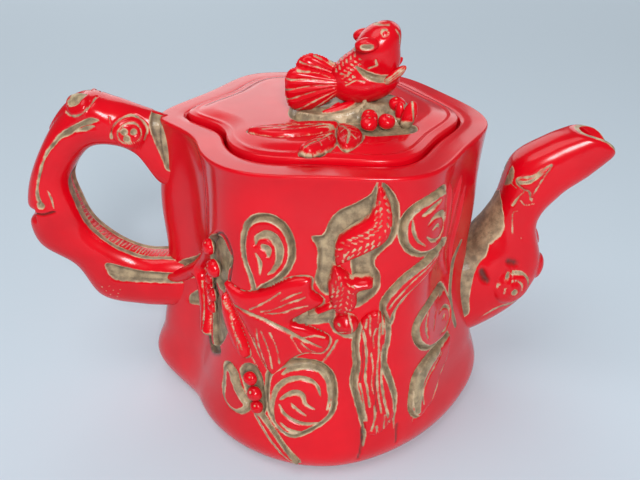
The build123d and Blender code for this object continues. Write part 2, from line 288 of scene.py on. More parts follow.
def waisted(table):
    """The photo's pot is drawn in at its middle, and spreads at its rim and in lobes at its foot."""
    height = np.linspace(0, POT_HEIGHT, TABLE_ROWS)[:, None]
    sides = np.cos(2 * math.pi * np.arange(TABLE_TURNS) / TABLE_TURNS) ** 2
    lobes = table - table.mean(axis=1, keepdims=True)
    foot = smooth(1 - height / FOOT_TOP)
    waist = smooth((height - 5) / 14) * smooth((72 - height) / 26)
    rim = smooth((height - 70) / 18)
    spread = foot * (FOOT_FLARE + LOBE_GAIN * lobes) + rim * RIM_SPREAD * sides
    return table + spread - waist * (WAIST_DRAW + WAIST_SIDE_DRAW * sides)


WALL_TABLE = read_wall()


def cubic_weights(t):
    """Catmull-Rom weights of the four neighbours of a place."""
    return (0.5 * (-t + 2 * t**2 - t**3), 0.5 * (2 - 5 * t**2 + 3 * t**3),
            0.5 * (t + 4 * t**2 - 3 * t**3), 0.5 * (-t**2 + t**3))


def wall_radius(angle, z):
    """The wall's radius in direction angle (radians) at height z (mm)."""
    turn = (angle / (2 * math.pi) % 1) * TABLE_TURNS
    row = np.clip(z / POT_HEIGHT, 0, 1) * (TABLE_ROWS - 1)
    turn_0, row_0 = np.floor(turn).astype(int), np.floor(row).astype(int)
    turn_weights, row_weights = cubic_weights(turn - turn_0), cubic_weights(row - row_0)
    radius = np.zeros(np.shape(turn))
    for i in range(4):
        rows = np.clip(row_0 + i - 1, 0, TABLE_ROWS - 1)
        for j in range(4):
            radius += row_weights[i] * turn_weights[j] * WALL_TABLE[rows, (turn_0 + j - 1) % TABLE_TURNS]
    return radius


def wall_place(angle, z, height):
    """The point that lies height off the wall, along its normal."""
    radius = wall_radius(angle, z)
    turn_slope = (wall_radius(angle + 0.01, z) - wall_radius(angle - 0.01, z)) / 0.02 / radius
    rise_slope = (wall_radius(angle, z + 0.5) - wall_radius(angle, z - 0.5)) / 1.0
    cos, sin = np.cos(angle), np.sin(angle)
    normal = np.stack([cos + turn_slope * sin, sin - turn_slope * cos, -rise_slope], -1)
    normal /= np.linalg.norm(normal, axis=-1, keepdims=True)
    foot = np.stack([radius * cos, radius * sin, z], -1)
    return foot + normal * np.asarray(height)[..., None]


def on_wall(azimuth):
    """Lays clay on the wall, as pressed straight in along azimuth."""
    facing = math.radians(azimuth)

    def place(u, z, height):
        depth = np.sqrt(np.maximum(FIRST_RADIUS**2 - u * u, 1))
        for _ in range(12):
            angle = facing + np.arctan2(u, depth)
            depth = np.sqrt(np.maximum(wall_radius(angle, z) ** 2 - u * u, 1))
        return wall_place(facing + np.arctan2(u, depth), z, height)

    return place


def on_lid(u, z, height):
    """Lays clay on the lid: u and z are then x and y."""
    return np.stack([u, z, LID_TOP + height], -1)


def upright(y, side=-1):
    """Stands clay on the plane at y, facing -Y (side -1) or +Y (side 1): u is then x."""

    def place(u, z, height):
        return np.stack([u, y + side * height, z], -1)

    return place


# ---------------------------------------------------------------- meshes and pieces
def add_piece(name, points, faces, patina, painted_shade, body, replaced=None, slot="ornament_gloss"):
    """One smooth-shaded piece in metres, on its body, with its slot's finish."""
    mesh = bpy.data.meshes.new(name)
    mesh.from_pydata((np.asarray(points) * MM).tolist(), [], [list(face) for face in faces])
    mesh.validate()
    # the second layer holds painted shade: where shade is darkened into the colour
    for title, values in (("patina", patina), ("painted_shade", painted_shade)):
        layer = mesh.attributes.new(title, "FLOAT", "POINT")
        layer.data.foreach_set("value", np.asarray(values, np.float32))
    tidy = bmesh.new()
    tidy.from_mesh(mesh)
    bmesh.ops.recalc_face_normals(tidy, faces=tidy.faces)
    tidy.to_mesh(mesh)
    tidy.free()
    mesh.shade_smooth()
    mesh.materials.append(FINISH[slot])
    piece = bpy.data.objects.new(name, mesh)
    bpy.context.scene.collection.objects.link(piece)
    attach(piece, body)
    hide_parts(replaced or name)
    return piece


def grid_faces(rows, columns, wrap_columns=False, wrap_rows=False):
    """Quads of a grid whose points are numbered row by row."""
    row = np.arange(rows if wrap_rows else rows - 1)[:, None]
    column = np.arange(columns if wrap_columns else columns - 1)[None, :]
    next_row, next_column = (row + 1) % rows, (column + 1) % columns
    corners = (row * columns + column, row * columns + next_column,
               next_row * columns + next_column, next_row * columns + column)
    return np.stack(corners, -1).reshape(-1, 4)


def capped_faces(rows, columns, first, last):
    """Faces of a tube of rings that a fan closes at each end, to the points numbered first and last."""
    faces = [list(face) for face in grid_faces(rows, columns, wrap_columns=True)]
    end = (rows - 1) * columns
    for i in range(columns):
        j = (i + 1) % columns
        faces += [[j, i, first], [end + i, end + j, last]]
    return faces


def level_ring(reach, angles, height):
    """A ring of points at one height, reach from the Z axis."""
    return np.stack([reach * np.cos(angles), reach * np.sin(angles), np.full(angles.shape, float(height))],
                    -1)


def joined(lumps):
    """Separate lumps as one. Each lump is its points, faces, patina and painted shade."""
    starts = np.cumsum([0] + [len(lump[0]) for lump in lumps[:-1]])
    faces = np.vstack([lump[1] + start for lump, start in zip(lumps, starts)])
    points, patina, painted_shade = (np.concatenate([lump[k] for lump in lumps]) for k in (0, 2, 3))
    return points, faces, patina, painted_shade


def clay_grid(corners, step, margin=1.2):
    """Fresh clay over a grid round the corners, and the grid's shape."""
    low, high = np.min(corners, 0)[:2] - margin, np.max(corners, 0)[:2] + margin
    u, z = np.meshgrid(np.arange(low[0], high[0], step), np.arange(low[1], high[1], step))
    return Clay(u.ravel(), z.ravel()), u.shape


def sheet_mesh(keep, front, back):
    """A closed sheet: the kept grid places in front and behind, joined round the border."""
    cells = keep[:-1, :-1] & keep[1:, :-1] & keep[:-1, 1:] & keep[1:, 1:]
    used = np.zeros(keep.shape, bool)
    for rows in (slice(0, -1), slice(1, None)):
        for columns in (slice(0, -1), slice(1, None)):
            used[rows, columns] |= cells
    number = np.full(keep.shape, -1)
    number[used] = np.arange(used.sum())
    count = used.sum()
    a, b, c, d = number[:-1, :-1], number[:-1, 1:], number[1:, 1:], number[1:, :-1]
    faces = [np.stack([a, b, c, d], -1)[cells], np.stack([a, d, c, b], -1)[cells] + count]
    ringed = np.pad(cells, 1)
    for shift, start, end in (((-1, 0), a, b), ((0, 1), b, c), ((1, 0), c, d), ((0, -1), d, a)):
        beside = ringed[1 + shift[0]:ringed.shape[0] - 1 + shift[0],
                        1 + shift[1]:ringed.shape[1] - 1 + shift[1]]
        edge = cells & ~beside
        s, e = start[edge], end[edge]
        faces.append(np.stack([e, s, s + count, e + count], -1))
    kept = used.ravel()
    return np.vstack([front[kept], back[kept]]), np.vstack(faces), kept


def relief(name, parts, place, body="pot", step=0.33, rooted=1.9, slot="ornament_gloss"):
    """A raised ornament. Each part is (outline or strokes box, work), and work(clay) shapes it
    and returns how far inside the part each place lies. Parts are separate lumps of one piece."""
    lumps = []
    for corners, work in parts:
        clay, shape = clay_grid(corners, step)
        inside = work(clay)
        skirt = smooth((inside + 0.3) / 0.6)
        height = clay.height * skirt - rooted * (1 - skirt)
        front = place(clay.u, clay.z, height)
        behind = place(clay.u, clay.z, np.full(height.shape, -rooted - 0.5))
        points, faces, kept = sheet_mesh((inside > -0.45).reshape(shape), front, behind)
        lumps.append((points, faces, np.tile(clay.patina[kept], 2), np.tile(clay.painted_shade[kept], 2)))
    return add_piece(name, *joined(lumps), body, slot=slot)


# ---------------------------------------------------------------- material
RED_DEEP, RED_BRIGHT = (0.42, 0.001, 0.006, 1), (0.74, 0.0015, 0.010, 1)
TAN_LIGHT, TAN_DARK = (0.47, 0.35, 0.205, 1), (0.20, 0.145, 0.085, 1)
CREAM = (0.66, 0.51, 0.32, 1)
# the dark colour of the painted shade
PAINTED_SHADE_COLOUR = (0.045, 0.028, 0.02, 1)


class Mixer:
    """Short calls for building one material's nodes."""

    def __init__(self, name):
        self.material = bpy.data.materials.new(name)
        self.material.use_nodes = True
        self.tree = self.material.node_tree
        self.tree.nodes.clear()
        self.places = self.add("ShaderNodeTexCoord").outputs["Object"]

    def add(self, kind, **settings):
        node = self.tree.nodes.new(kind)
        for key, value in settings.items():
            setattr(node, key, value)
        return node

    def feed(self, socket, value):
        if isinstance(value, bpy.types.NodeSocket):
            self.tree.links.new(value, socket)
        else:
            socket.default_value = value

    def sum(self, operation, *values):
        node = self.add("ShaderNodeMath", operation=operation)
        for socket, value in zip(node.inputs, values):
            self.feed(socket, value)
        return node.outputs[0]

    def noise(self, per_metre, detail=3.0, seed=0.0):
        node = self.add("ShaderNodeTexNoise", noise_dimensions="4D")
        self.feed(node.inputs["Vector"], self.places)
        self.feed(node.inputs["Scale"], per_metre)
        self.feed(node.inputs["Detail"], detail)
        self.feed(node.inputs["W"], seed)
        return node.outputs["Fac"]

    def ramp(self, value, low, high, start=0.0, end=1.0):
        node = self.add("ShaderNodeMapRange", interpolation_type="SMOOTHSTEP")
        for socket, number in zip(node.inputs, (value, low, high, start, end)):
            self.feed(socket, number)
        return node.outputs["Result"]

    def mix(self, share, first, second):
        node = self.add("ShaderNodeMix", data_type="RGBA")
        self.feed(node.inputs[0], share)
        self.feed(node.inputs[6], first)
        self.feed(node.inputs[7], second)
        return node.outputs[2]

    def layer(self, title):
        return self.add("ShaderNodeAttribute", attribute_name=title).outputs["Fac"]


def lacquer(name, red_share, seed):
    """Glossy red lacquer, with khaki patina in the carving, cream where it wears through at an edge, and
    painted shade darkening the deepest corners."""
    m = Mixer(name)
    ragged = m.sum("MULTIPLY", m.sum("SUBTRACT", m.noise(540, 4, seed + 1.0), 0.5), 0.62)
    grit = m.sum("MULTIPLY", m.sum("SUBTRACT", m.noise(2600, 2, seed + 2.0), 0.5), 0.3)
    reach = m.sum("ADD", m.layer("patina"), m.sum("ADD", ragged, grit))
    patina = m.ramp(reach, -0.02, 0.16)
    rim = m.sum("MULTIPLY", m.ramp(reach, -0.14, 0.06), m.ramp(reach, 0.42, 0.16))
    rim = m.sum("MULTIPLY", rim, m.ramp(m.noise(300, 2, seed + 3.0), 0.40, 0.60, 0.1, 0.8))
    red = m.mix(m.ramp(m.noise(55, 3, seed + 4.0), 0.3, 0.7), RED_DEEP, RED_BRIGHT)
    red = m.mix(red_share, RED_BRIGHT, red)
    mottled = m.sum("ADD", m.sum("MULTIPLY", m.noise(420, 5, seed + 5.0), 0.7), m.sum("MULTIPLY", grit, 0.5))
    tan = m.mix(m.ramp(mottled, 0.22, 0.52), TAN_DARK, TAN_LIGHT)
    colour = m.mix(patina, red, tan)
    colour = m.mix(rim, colour, CREAM)
    # painted shade: darkens the colour where the shade layer is set
    painted_shade = m.sum("MULTIPLY", m.layer("painted_shade"), m.ramp(m.noise(500, 3, seed + 6.0), 0.25, 0.6, 0.5, 1.0))
    colour = m.mix(painted_shade, colour, PAINTED_SHADE_COLOUR)
    shader = m.add("ShaderNodeBsdfPrincipled")
    m.feed(shader.inputs["Base Color"], colour)
    m.feed(shader.inputs["Roughness"], m.sum("ADD", m.ramp(m.noise(160, 3, seed + 7.0), 0.2, 0.8, 0.15,
                                                           0.24),
                                             m.sum("MULTIPLY", patina, 0.32)))
    shader.inputs["IOR"].default_value = 1.37
    shader.inputs["Coat Weight"].default_value = 0.10
    shader.inputs["Coat Roughness"].default_value = 0.07
    relief_height = m.sum("ADD", m.sum("MULTIPLY", m.noise(130, 2, seed + 8.0), 0.10),
                          m.sum("MULTIPLY", m.sum("MULTIPLY", m.noise(1500, 4, seed + 9.0), patina), 0.22))
    bump = m.add("ShaderNodeBump")
    bump.inputs["Strength"].default_value = 0.9
    bump.inputs["Distance"].default_value = MM
    m.feed(bump.inputs["Height"], relief_height)
    m.feed(shader.inputs["Normal"], bump.outputs["Normal"])
    out = m.add("ShaderNodeOutputMaterial")
    m.feed(out.inputs["Surface"], shader.outputs["BSDF"])
    return m.material


FINISH = {
    "pot_gloss": lacquer("pot_lacquer", 0.35, 0.0),
    "branch_gloss": lacquer("branch_lacquer", 0.45, 20.0),
    "fish_gloss": lacquer("fish_lacquer", 0.30, 40.0),
    "ornament_gloss": lacquer("ornament_lacquer", 0.40, 60.0),
}

# ---------------------------------------------------------------- outlines, front face
EAR = ((-16.5, 60), (-17.4, 64), (-18.8, 68.5), (-19, 73), (-18, 77.5), (-15.6, 80), (-12, 80.3), (-9, 78.3),
       (-7.3, 74.5), (-7.2, 70.5), (-8.8, 66.8), (-11.5, 64), (-14.3, 62))
VINE_LEAF = ((-25.5, 59), (-20, 58.5), (-14, 61), (-8, 64.5), (-2.5, 65), (-2, 61.5), (1, 58),
             (-4, 54.5), (-7.5, 51.5), (-3, 50), (2.5, 46.5), (1, 42), (-4, 41.5), (-8, 39),
             (-12.5, 33), (-16, 37.5), (-18.5, 44), (-22, 51))
NARROW_LEAF = ((-26, 55), (-23.5, 50), (-21, 44), (-19.5, 38), (-21.5, 36.5), (-24.5, 41), (-26.5, 48))
TAIL = ((14, 90), (16.2, 87), (17.6, 82.5), (17.6, 78.5), (16, 75), (12, 72.3), (6.5, 69.6), (4, 68.6),
        (3.5, 72), (4.2, 75.6), (8, 79), (11.5, 81.5), (13, 85))
BODY = ((3.6, 69), (6.5, 67.5), (9, 65.5), (12.6, 65.6), (13.4, 62.8), (9.8, 61.4), (9.6, 58), (8.3, 55.8),
        (5.5, 54.6), (3.4, 56), (2.4, 59), (1.9, 63), (2.6, 66.5))
HEAD = (6.8, 51.4, 3.5)
TRUNK = ((15.5, 55), (17.8, 50), (18, 46), (17.2, 38), (19.2, 31), (21, 24), (21, 16.5),
         (17, 13), (13.5, 14), (12, 20), (10.3, 27), (9.2, 32), (10, 38), (9.4, 45), (11, 53))
BRANCH = ((18.4, 50), (19.5, 54.5), (22.5, 59), (27, 62.5), (32.5, 66), (31.5, 68.5),
          (25, 67), (20, 63.4), (16, 57))
SPIRAL = ((-14.5, 30), (-13.4, 34.5), (-9, 38), (-4, 38.6), (0.5, 37.4), (3.4, 33.5), (4, 27),
          (2.8, 21.8), (-2, 17.6), (-8, 14.6), (-12.5, 17.4), (-14.6, 23))
CRESCENT = ((-26, 31), (-24, 29.5), (-23.4, 26.5), (-22, 23.5), (-20, 20.5), (-23, 16.8),
            (-26.5, 16.6), (-28.6, 19.5), (-28, 25), (-27.6, 29))
LOWER_STEM = ((-19.5, 20.4), (-16.6, 19.6), (-13, 14.8), (-9.5, 10), (-6.2, 6), (-6.6, 4.2), (-10, 6.4),
              (-15.5, 13))
BERRY_TRIO = ((-19.3, 30.4, 2.1), (-18.2, 25.9, 2.3), (-17.8, 21.6, 2.0))
UPPER_BERRIES = ((4.6, 66.2, 2.3), (7.6, 61.2, 2.6))
LOWER_BERRIES = ((-1.2, 52, 1.9), (-3.2, 46.8, 1.8), (2.6, 48.8, 1.9), (1.4, 43.8, 1.8))
TWIG = ((-25, 39.5), (-19, 42), (-15.7, 44.4), (-12, 47.6), (-6.4, 53.6), (-2.4, 57.4), (1, 60.4),
        (3.2, 59.4),
        (-1, 53.6), (-5.2, 48.8), (-5.4, 46.4), (-3, 44), (-1, 41.5), (0.8, 38.7), (2.4, 34.6), (4, 30),
        (-0.6, 29), (-3, 33), (-5.6, 37), (-7.6, 41), (-10, 43.2), (-14, 39.8), (-19, 36.8), (-25, 34.4))
UPPER_SCROLL = ((11, 85.6), (5, 85.2), (0.5, 83.2), (-1.6, 80), (-1.8, 75.6), (0.2, 72), (4, 70), (9, 69.4),
                (13, 70.4), (14.4, 75.5), (12.6, 81.5))
SIDE_SCROLL = ((8.5, 48.5), (3, 49.6), (-3, 50.2), (-8, 49), (-9.8, 45), (-8, 39.5), (-3.5, 35),
               (3, 32.4), (9, 31.4), (13.5, 33.4), (14.6, 38), (12, 44))
BUD_LEAF = ((12, 30), (6, 30.4), (-3, 31.6), (-8.6, 29.6), (-10.6, 24), (-11, 17), (-8.5, 13), (-4.5, 14),
            (0.4, 15.8), (2.8, 20.6), (8.5, 24))

# ---------------------------------------------------------------- outlines, back face
BACK_BRANCH = ((34, 44), (28, 50), (20, 54), (11, 55.5), (2, 53.5), (-8, 55.5), (-17, 61), (-24, 69),
               (-26.5, 68), (-20, 58), (-10, 51.5), (2, 49.5), (12, 51), (20, 50), (27, 45), (33, 40))
BACK_LEAF = ((3, 56.5), (-4, 60), (-6, 67), (-3, 74), (2, 80), (8, 81), (7, 74.5), (12.5, 72),
             (12, 65), (8, 59.5))
BACK_LOW_LEAF = ((-4, 48.5), (-10, 46), (-15.5, 40), (-17, 31.5), (-11, 31), (-7.5, 26.5), (-3, 32),
                 (1, 38), (0, 45))
BACK_SCROLL = ((18, 46), (12.5, 42.5), (10.5, 36), (11.5, 29), (17, 25), (23.5, 26), (27.5, 31.5),
               (27, 39), (23, 44.5))
BACK_CURL = ((19, 59), (15.5, 64), (16.5, 71), (21.5, 75.5), (27, 73.5), (29, 67.5), (26, 61))
BACK_BERRIES = ((-20.2, 51, 2.4), (-24, 47.5, 2.3), (-20.5, 46, 2.4))


# ---------------------------------------------------------------- the pot's own carving
def carve_front(clay):
    """Moats and sunk grounds of the front face, and the flutes' cracks."""
    clay.moat(EAR, 1.15, 1.1)
    clay.sink(clay.stroke(((-17.3, 60, 0.7), (-16.8, 57, 1.0), (-14, 59, 1.1), (-10.8, 60.8, 0.9),
                           (-7, 62.8, 0.5))), 0.9)
    clay.hollow_out(((13.6, 91), (12, 87.6), (8.5, 85), (4.5, 82.8), (2.2, 80), (0.8, 76.6), (-2.2, 76),
                     (-0.8, 73), (-0.8, 68), (-1.2, 63.6), (2, 60), (5, 66), (5, 72), (8, 78), (13, 82)),
                    1.3)
    clay.hollow_out(((14.6, 91), (17.6, 88), (19.2, 84), (19.2, 79), (18, 75), (15, 72), (13.6, 69.4),
                     (15.2, 66), (15, 61.4), (11, 57), (8, 57), (8, 66), (8, 71), (14, 75), (15.8, 80),
                     (15, 85)), 1.3)
    clay.hollow_out(((-7, 51), (-5.5, 54.4), (-2, 56), (2, 57.6), (4, 55), (3.6, 52), (1, 51), (-3.5, 50.8)),
                    1.0)
    clay.sink(clay.line(((3, 52), (4.6, 48.6), (8, 47), (10.6, 48.6)), 0.9), 1.1)
    clay.hollow_out(((-23, 31), (-20.6, 34.6), (-17.6, 34.4), (-16, 31), (-15.4, 26), (-15.2, 21.6),
                     (-16.4, 18.6), (-19.6, 19), (-21, 23), (-22, 27)), 1.1)
    clay.hollow_out(((-12, 42.3), (-10.4, 43.4), (-8.6, 42.6), (-7.4, 40), (-7.8, 38), (-10, 39.6),
                     (-11.6, 41)), 0.7)
    clay.moat(VINE_LEAF, 0.45, 0.9, 0.5)
    clay.moat(NARROW_LEAF, 0.4, 0.9, 0.5)
    clay.sink(clay.stroke(((12.4, 53, 0.2), (10.4, 50, 0.7), (9.2, 45, 0.8), (9.6, 38, 0.8), (9, 32, 0.9),
                           (10, 27, 0.8), (11.8, 20, 0.9), (12.8, 14, 0.5), (12.4, 10, 0.2))), 1.0)
    clay.sink(clay.stroke(((18, 52, 0.5), (18.4, 46, 0.8), (17.6, 38, 0.8), (19.6, 31, 0.9), (21.2, 24, 0.9),
                           (21.4, 17, 0.5), (21.6, 13, 0.15))), 1.0)
    clay.moat(BRANCH, 0.7, 1.0)
    clay.moat(SPIRAL, 1.0, 1.0)
    clay.moat(CRESCENT, 0.6, 0.9)
    clay.moat(LOWER_STEM, 0.5, 0.8)
    clay.score(clay.stroke(((12.2, 16, 0.5), (12, 11, 0.35), (11, 5, 0.15))), 0.7)
    clay.score(clay.stroke(((22.5, 14, 0.3), (22.5, 7, 0.12))), 0.5)
    clay.groove(((4.6, 45.6, 0.3), (3, 42, 0.35), (1, 39, 0.25)), 0.5)
    for dash in (((-15, 30.5), (-13.8, 33)), ((-13, 31.5), (-12.2, 34.5)), ((-19, 37), (-17.5, 34.5))):
        clay.scratch(dash, 0.22, 0.3)


def carve_handle_flute(clay):
    """The berry pockets below the handle side's lobes, and the bevel over the twig."""
    clay.hollow_out(((-1.5, 64.5), (4, 69.5), (10, 72), (13, 70), (15, 66.5), (13.5, 63), (12.4, 58.5),
                     (10, 54.6), (6, 55), (1.5, 56), (-1, 58), (-1.6, 61)), 1.5, 1.2)
    clay.hollow_out(((0.5, 57.5), (-3, 53.5), (-7, 49), (-8.5, 45.5), (-6.5, 41), (-4.5, 38.5), (-1.5, 35),
                     (1, 31), (5, 32), (9, 37), (11.5, 42.5), (13, 46), (10.5, 48), (8.5, 50), (6, 54),
                     (4, 56.4)), 1.5, 1.2)
    clay.hollow_out(((-19, 36), (-11.5, 41), (-8.5, 40), (-7.2, 37), (-9, 34.4), (-14, 33.6), (-20, 31.8)),
                    0.7)
    clay.hollow_out(((-27, 39), (-17.5, 42), (-12, 47.5), (-7.5, 53), (-3, 58), (1, 63.6), (-3, 64),
                     (-6.5, 61), (-10.5, 56.4), (-16.5, 50.6), (-25, 45)), 1.0, 1.4)
    clay.score(clay.line(((-28, 42.4), (-18, 43.6), (-12, 48.4), (-7, 54), (-1.5, 60), (2, 65.6), (10, 72.8),
                          (14.6, 68.6), (13.6, 60), (12.2, 55)), 0.35), 0.5)
    # painted shadow cast below the twig
    clay.paint_shade(0.8 * smooth((clay.line(((-4.5, 28.8), (1, 28.2), (6, 31)), 1.2) + 0.6) / 1.6))
    clay.sink(clay.line(((-4, 30), (1, 29), (6, 32)), 1.3), 1.2)


def carve_spout_side(clay):
    clay.moat(SIDE_SCROLL, 1.0, 1.1)
    clay.moat(BUD_LEAF, 0.7, 1.0)
    for finger in (((-10.6, 22, 0.6), (-10.8, 17, 0.5), (-10, 12, 0.15)),
                   ((-8.6, 18, 0.5), (-8, 14, 0.4), (-7.4, 11.4, 0.1)),
                   ((-7, 17, 0.4), (-5.6, 13.6, 0.35), (-4.6, 11.8, 0.1))):
        clay.groove(finger, 0.6)
    clay.swell(clay.stroke(((17.5, 77, 0.2), (15.8, 68, 1.0), (14, 60, 1.0), (15, 52, 0.2))), 0.7, 1.0)


def carve_spout_shoulder(clay):
    clay.moat(UPPER_SCROLL, 1.0, 1.1)
    clay.swell(clay.stroke(((15.5, 84, 0.3), (17.5, 74, 2.2), (16.8, 66, 2.2), (20, 57, 1.6),
                            (24, 50, 0.3))), 1.1, 2.2)
    clay.swell(clay.stroke(((24, 82, 0.3), (22.5, 73, 1.8), (20.6, 66, 0.6))), 0.9, 1.8)


def carve_spout_seam(clay):
    seam = clay.stroke(((10, 57, 0.8), (6.5, 53, 1.2), (5.5, 48, 1.1), (4.4, 42.5, 1.0), (4.4, 36, 1.1),
                        (5.5, 29.5, 0.9)))
    clay.tan(seam)
    # painted shade along the seam where the spout meets the body
    clay.paint_shade(0.35 * smooth(seam + 0.4))


def carve_back(clay):
    for outline, width in ((BACK_BRANCH, 0.7), (BACK_LEAF, 0.5), (BACK_LOW_LEAF, 0.5), (BACK_SCROLL, 1.0),
                           (BACK_CURL, 1.0)):
        clay.moat(outline, width, 1.0)
    clay.hollow_out(((-17, 53.4), (-22, 54.6), (-27.4, 49.6), (-26, 44.4), (-20, 42.4), (-16.6, 46)), 1.2)


CARVED_FACES = (
    (FRONT, carve_front), (HANDLE_FLUTE, carve_handle_flute), (SPOUT_FLUTE, carve_spout_side),
    (SPOUT_SHOULDER, carve_spout_shoulder), (SPOUT_SEAM, carve_spout_seam), (BACK, carve_back),
)
RIM_PROFILE = (  # inset from the outside and height, from the flat rim in and down to the ledge's edge
    (2.2, POT_HEIGHT), (4.5, POT_HEIGHT + 0.05), (RIM_BAND - 1.2, POT_HEIGHT),
    (RIM_BAND - 0.3, POT_HEIGHT - 0.25), (RIM_BAND, POT_HEIGHT - 0.9), (RIM_BAND, SEAT_LEVEL + 0.3),
    (RIM_BAND + 0.3, SEAT_LEVEL), (RIM_BAND + LEDGE - 0.4, SEAT_LEVEL),
    (RIM_BAND + LEDGE, SEAT_LEVEL - 0.4), (RIM_BAND + LEDGE, SEAT_LEVEL - LEDGE + 0.4),
)


def pot_columns():
    """Directions of the pot's columns: close together where the carving is finest."""
    fine = np.radians(np.arange(-166, -12, 0.55))
    coarse = np.radians(np.arange(-12, 194, 1.25))
    return np.concatenate([fine, coarse])


def make_pot_body():
    """The hollow pot: wall, rounded rim, lid seat, ledge, inside and floor, as one closed skin."""
    angles = pot_columns()
    foot_round, rim_round = 1.8, 1.1
    heights = np.concatenate([foot_round * (1 - np.cos(np.linspace(0.25, 1.45, 5))),
                              np.linspace(foot_round, POT_HEIGHT - rim_round, 186),
                              POT_HEIGHT - rim_round * (1 - np.sin(np.linspace(0.3, 1.5, 5)))])
    turn, z = np.meshgrid(angles, heights)
    clay = Clay(turn.ravel(), z.ravel())
    base = wall_place(clay.u, clay.z, np.zeros(clay.z.shape))
    for azimuth, carve in CARVED_FACES:
        facing = math.radians(azimuth)
        turned_away = base[:, 0] * math.cos(facing) + base[:, 1] * math.sin(facing) < 8
        clay.u = np.where(turned_away, AWAY, base[:, 1] * math.cos(facing) - base[:, 0] * math.sin(facing))
        clay.z = base[:, 2]
        carve(clay)
    edge = np.zeros(z.size)
    low, high = clay.z < foot_round, clay.z > POT_HEIGHT - rim_round
    edge[low] = foot_round - np.sqrt(foot_round**2 - (foot_round - clay.z[low]) ** 2)
    edge[high] = rim_round - np.sqrt(rim_round**2 - (clay.z[high] - POT_HEIGHT + rim_round) ** 2)
    outer = wall_place(turn.ravel(), clay.z, clay.height - edge)
    outer[:, 2] = np.clip(outer[:, 2], 0.0, POT_HEIGHT)

    rim = wall_radius(angles, np.full(angles.shape, POT_HEIGHT))
    rings = []
    for inset, height in RIM_PROFILE:
        rings.append(level_ring(rim - inset, angles, height))
    for height in (SEAT_LEVEL - LEDGE, 74, 60, 45, 30, 16, FLOOR + 3, FLOOR + 0.8, FLOOR):
        inset = WALL + (0 if height > FLOOR + 1 else 1.5 if height > FLOOR else 3.5)
        reach = wall_radius(angles, np.full(angles.shape, float(height))) - inset
        rings.append(level_ring(reach, angles, height))
    innermost = rings[-1][:, :2]
    for share in (0.6, 0.25):
        rings.append(np.column_stack([innermost * share, np.full(angles.size, FLOOR)]))
    inner = np.vstack(rings)
    points = np.vstack([outer, inner, [(0, 0, FLOOR), (0, 0, 0.0)]])
    faces = capped_faces(len(heights) + len(rings), len(angles), len(points) - 1, len(points) - 2)
    extra = len(points) - len(outer)
    patina = np.concatenate([clay.patina, np.full(extra, FAR)])
    painted_shade = np.concatenate([clay.painted_shade, np.zeros(extra)])
    return add_piece("pot_body_skin", points, faces, patina, painted_shade, "pot", "pot_body", "pot_gloss")


make_pot_body()


# ---------------------------------------------------------------- applied ornaments, front face
def pad(clay, outline, height, width, rim):
    """A rounded pad inside an outline, with patina on its border, rim wide."""
    inside = clay.area(outline)
    clay.swell(inside, height, width)
    clay.tan(rim - inside)
    return inside


def work_teardrop(clay):
    inside = pad(clay, EAR, 1.0, 1.6, 0.85)
    clay.groove(((-16, 73.2, 0.3), (-15.3, 75.3, 0.7), (-13, 76.4, 1.1), (-11, 75.2, 1.2), (-10, 72.5, 1.1),
                 (-10.3, 69.5, 0.9), (-11.6, 67, 0.6), (-13, 65.8, 0.2)), 0.9)
    clay.groove(((-14, 73, 0.8), (-12.8, 72.4, 0.9), (-12.8, 70.8, 0.5)), 0.8)
    clay.groove(((-15.9, 71, 0.2), (-14.9, 68.6, 0.55), (-15.1, 65.4, 0.15)), 0.7)
    return inside


def work_vine_leaf(clay):
    inside = clay.area(VINE_LEAF)
    clay.swell(inside, 1.4, 3.2)
    clay.groove(((-27, 54.5, 0.25), (-23.5, 53.6, 0.5), (-19.5, 53.2, 0.55), (-14.5, 52, 0.6),
                 (-9.5, 49.6, 0.65), (-4, 46.3, 0.5), (0.5, 44, 0.2)), 0.9)
    veins = (((-10, 58.5), (-7, 60.4), (-4.6, 61.4)), ((-15, 54.5), (-12, 55.6), (-8, 58), (-3.6, 60)),
             ((-14, 54), (-9.5, 55), (-6.8, 56.4), (-3, 57.4)), ((-18, 54.4), (-14, 57.6), (-10, 61)),
             ((-5, 47), (-1.5, 47.8), (1.2, 47)), ((-5, 45.6), (-3, 43.4), (-1.4, 42.4)),
             ((-7.5, 47.4), (-6, 44), (-5, 42)), ((-17.6, 45), (-17, 39.5)),
             ((-16.6, 48.6), (-16.2, 43), (-14.6, 36)), ((-15.4, 48), (-13.6, 42), (-12.8, 36)),
             ((-13, 48), (-11.4, 43), (-10.8, 38)))
    for vein in veins:
        clay.scratch(vein, 0.2, 0.55)
    return inside


def work_narrow_leaf(clay):
    inside = clay.area(NARROW_LEAF)
    clay.swell(inside, 1.8, 2.0)
    for vein in (((-25.4, 53), (-23.6, 49), (-22.4, 44), (-21.6, 38.5)),
                 ((-23.4, 47), (-21.4, 42), (-20.8, 39.6))):
        clay.scratch(vein, 0.14, 0.5)
    return inside


def work_tail(clay):
    inside = pad(clay, TAIL, 2.0, 2.4, 0.12)
    clay.ticks(((14.6, 88), (15.6, 83), (15, 78.6), (11, 75.4), (6, 73), (5, 70.4)), (-1.9, -0.7, 0.6, 1.8),
               1.7, 1.1, 0.2)
    return inside


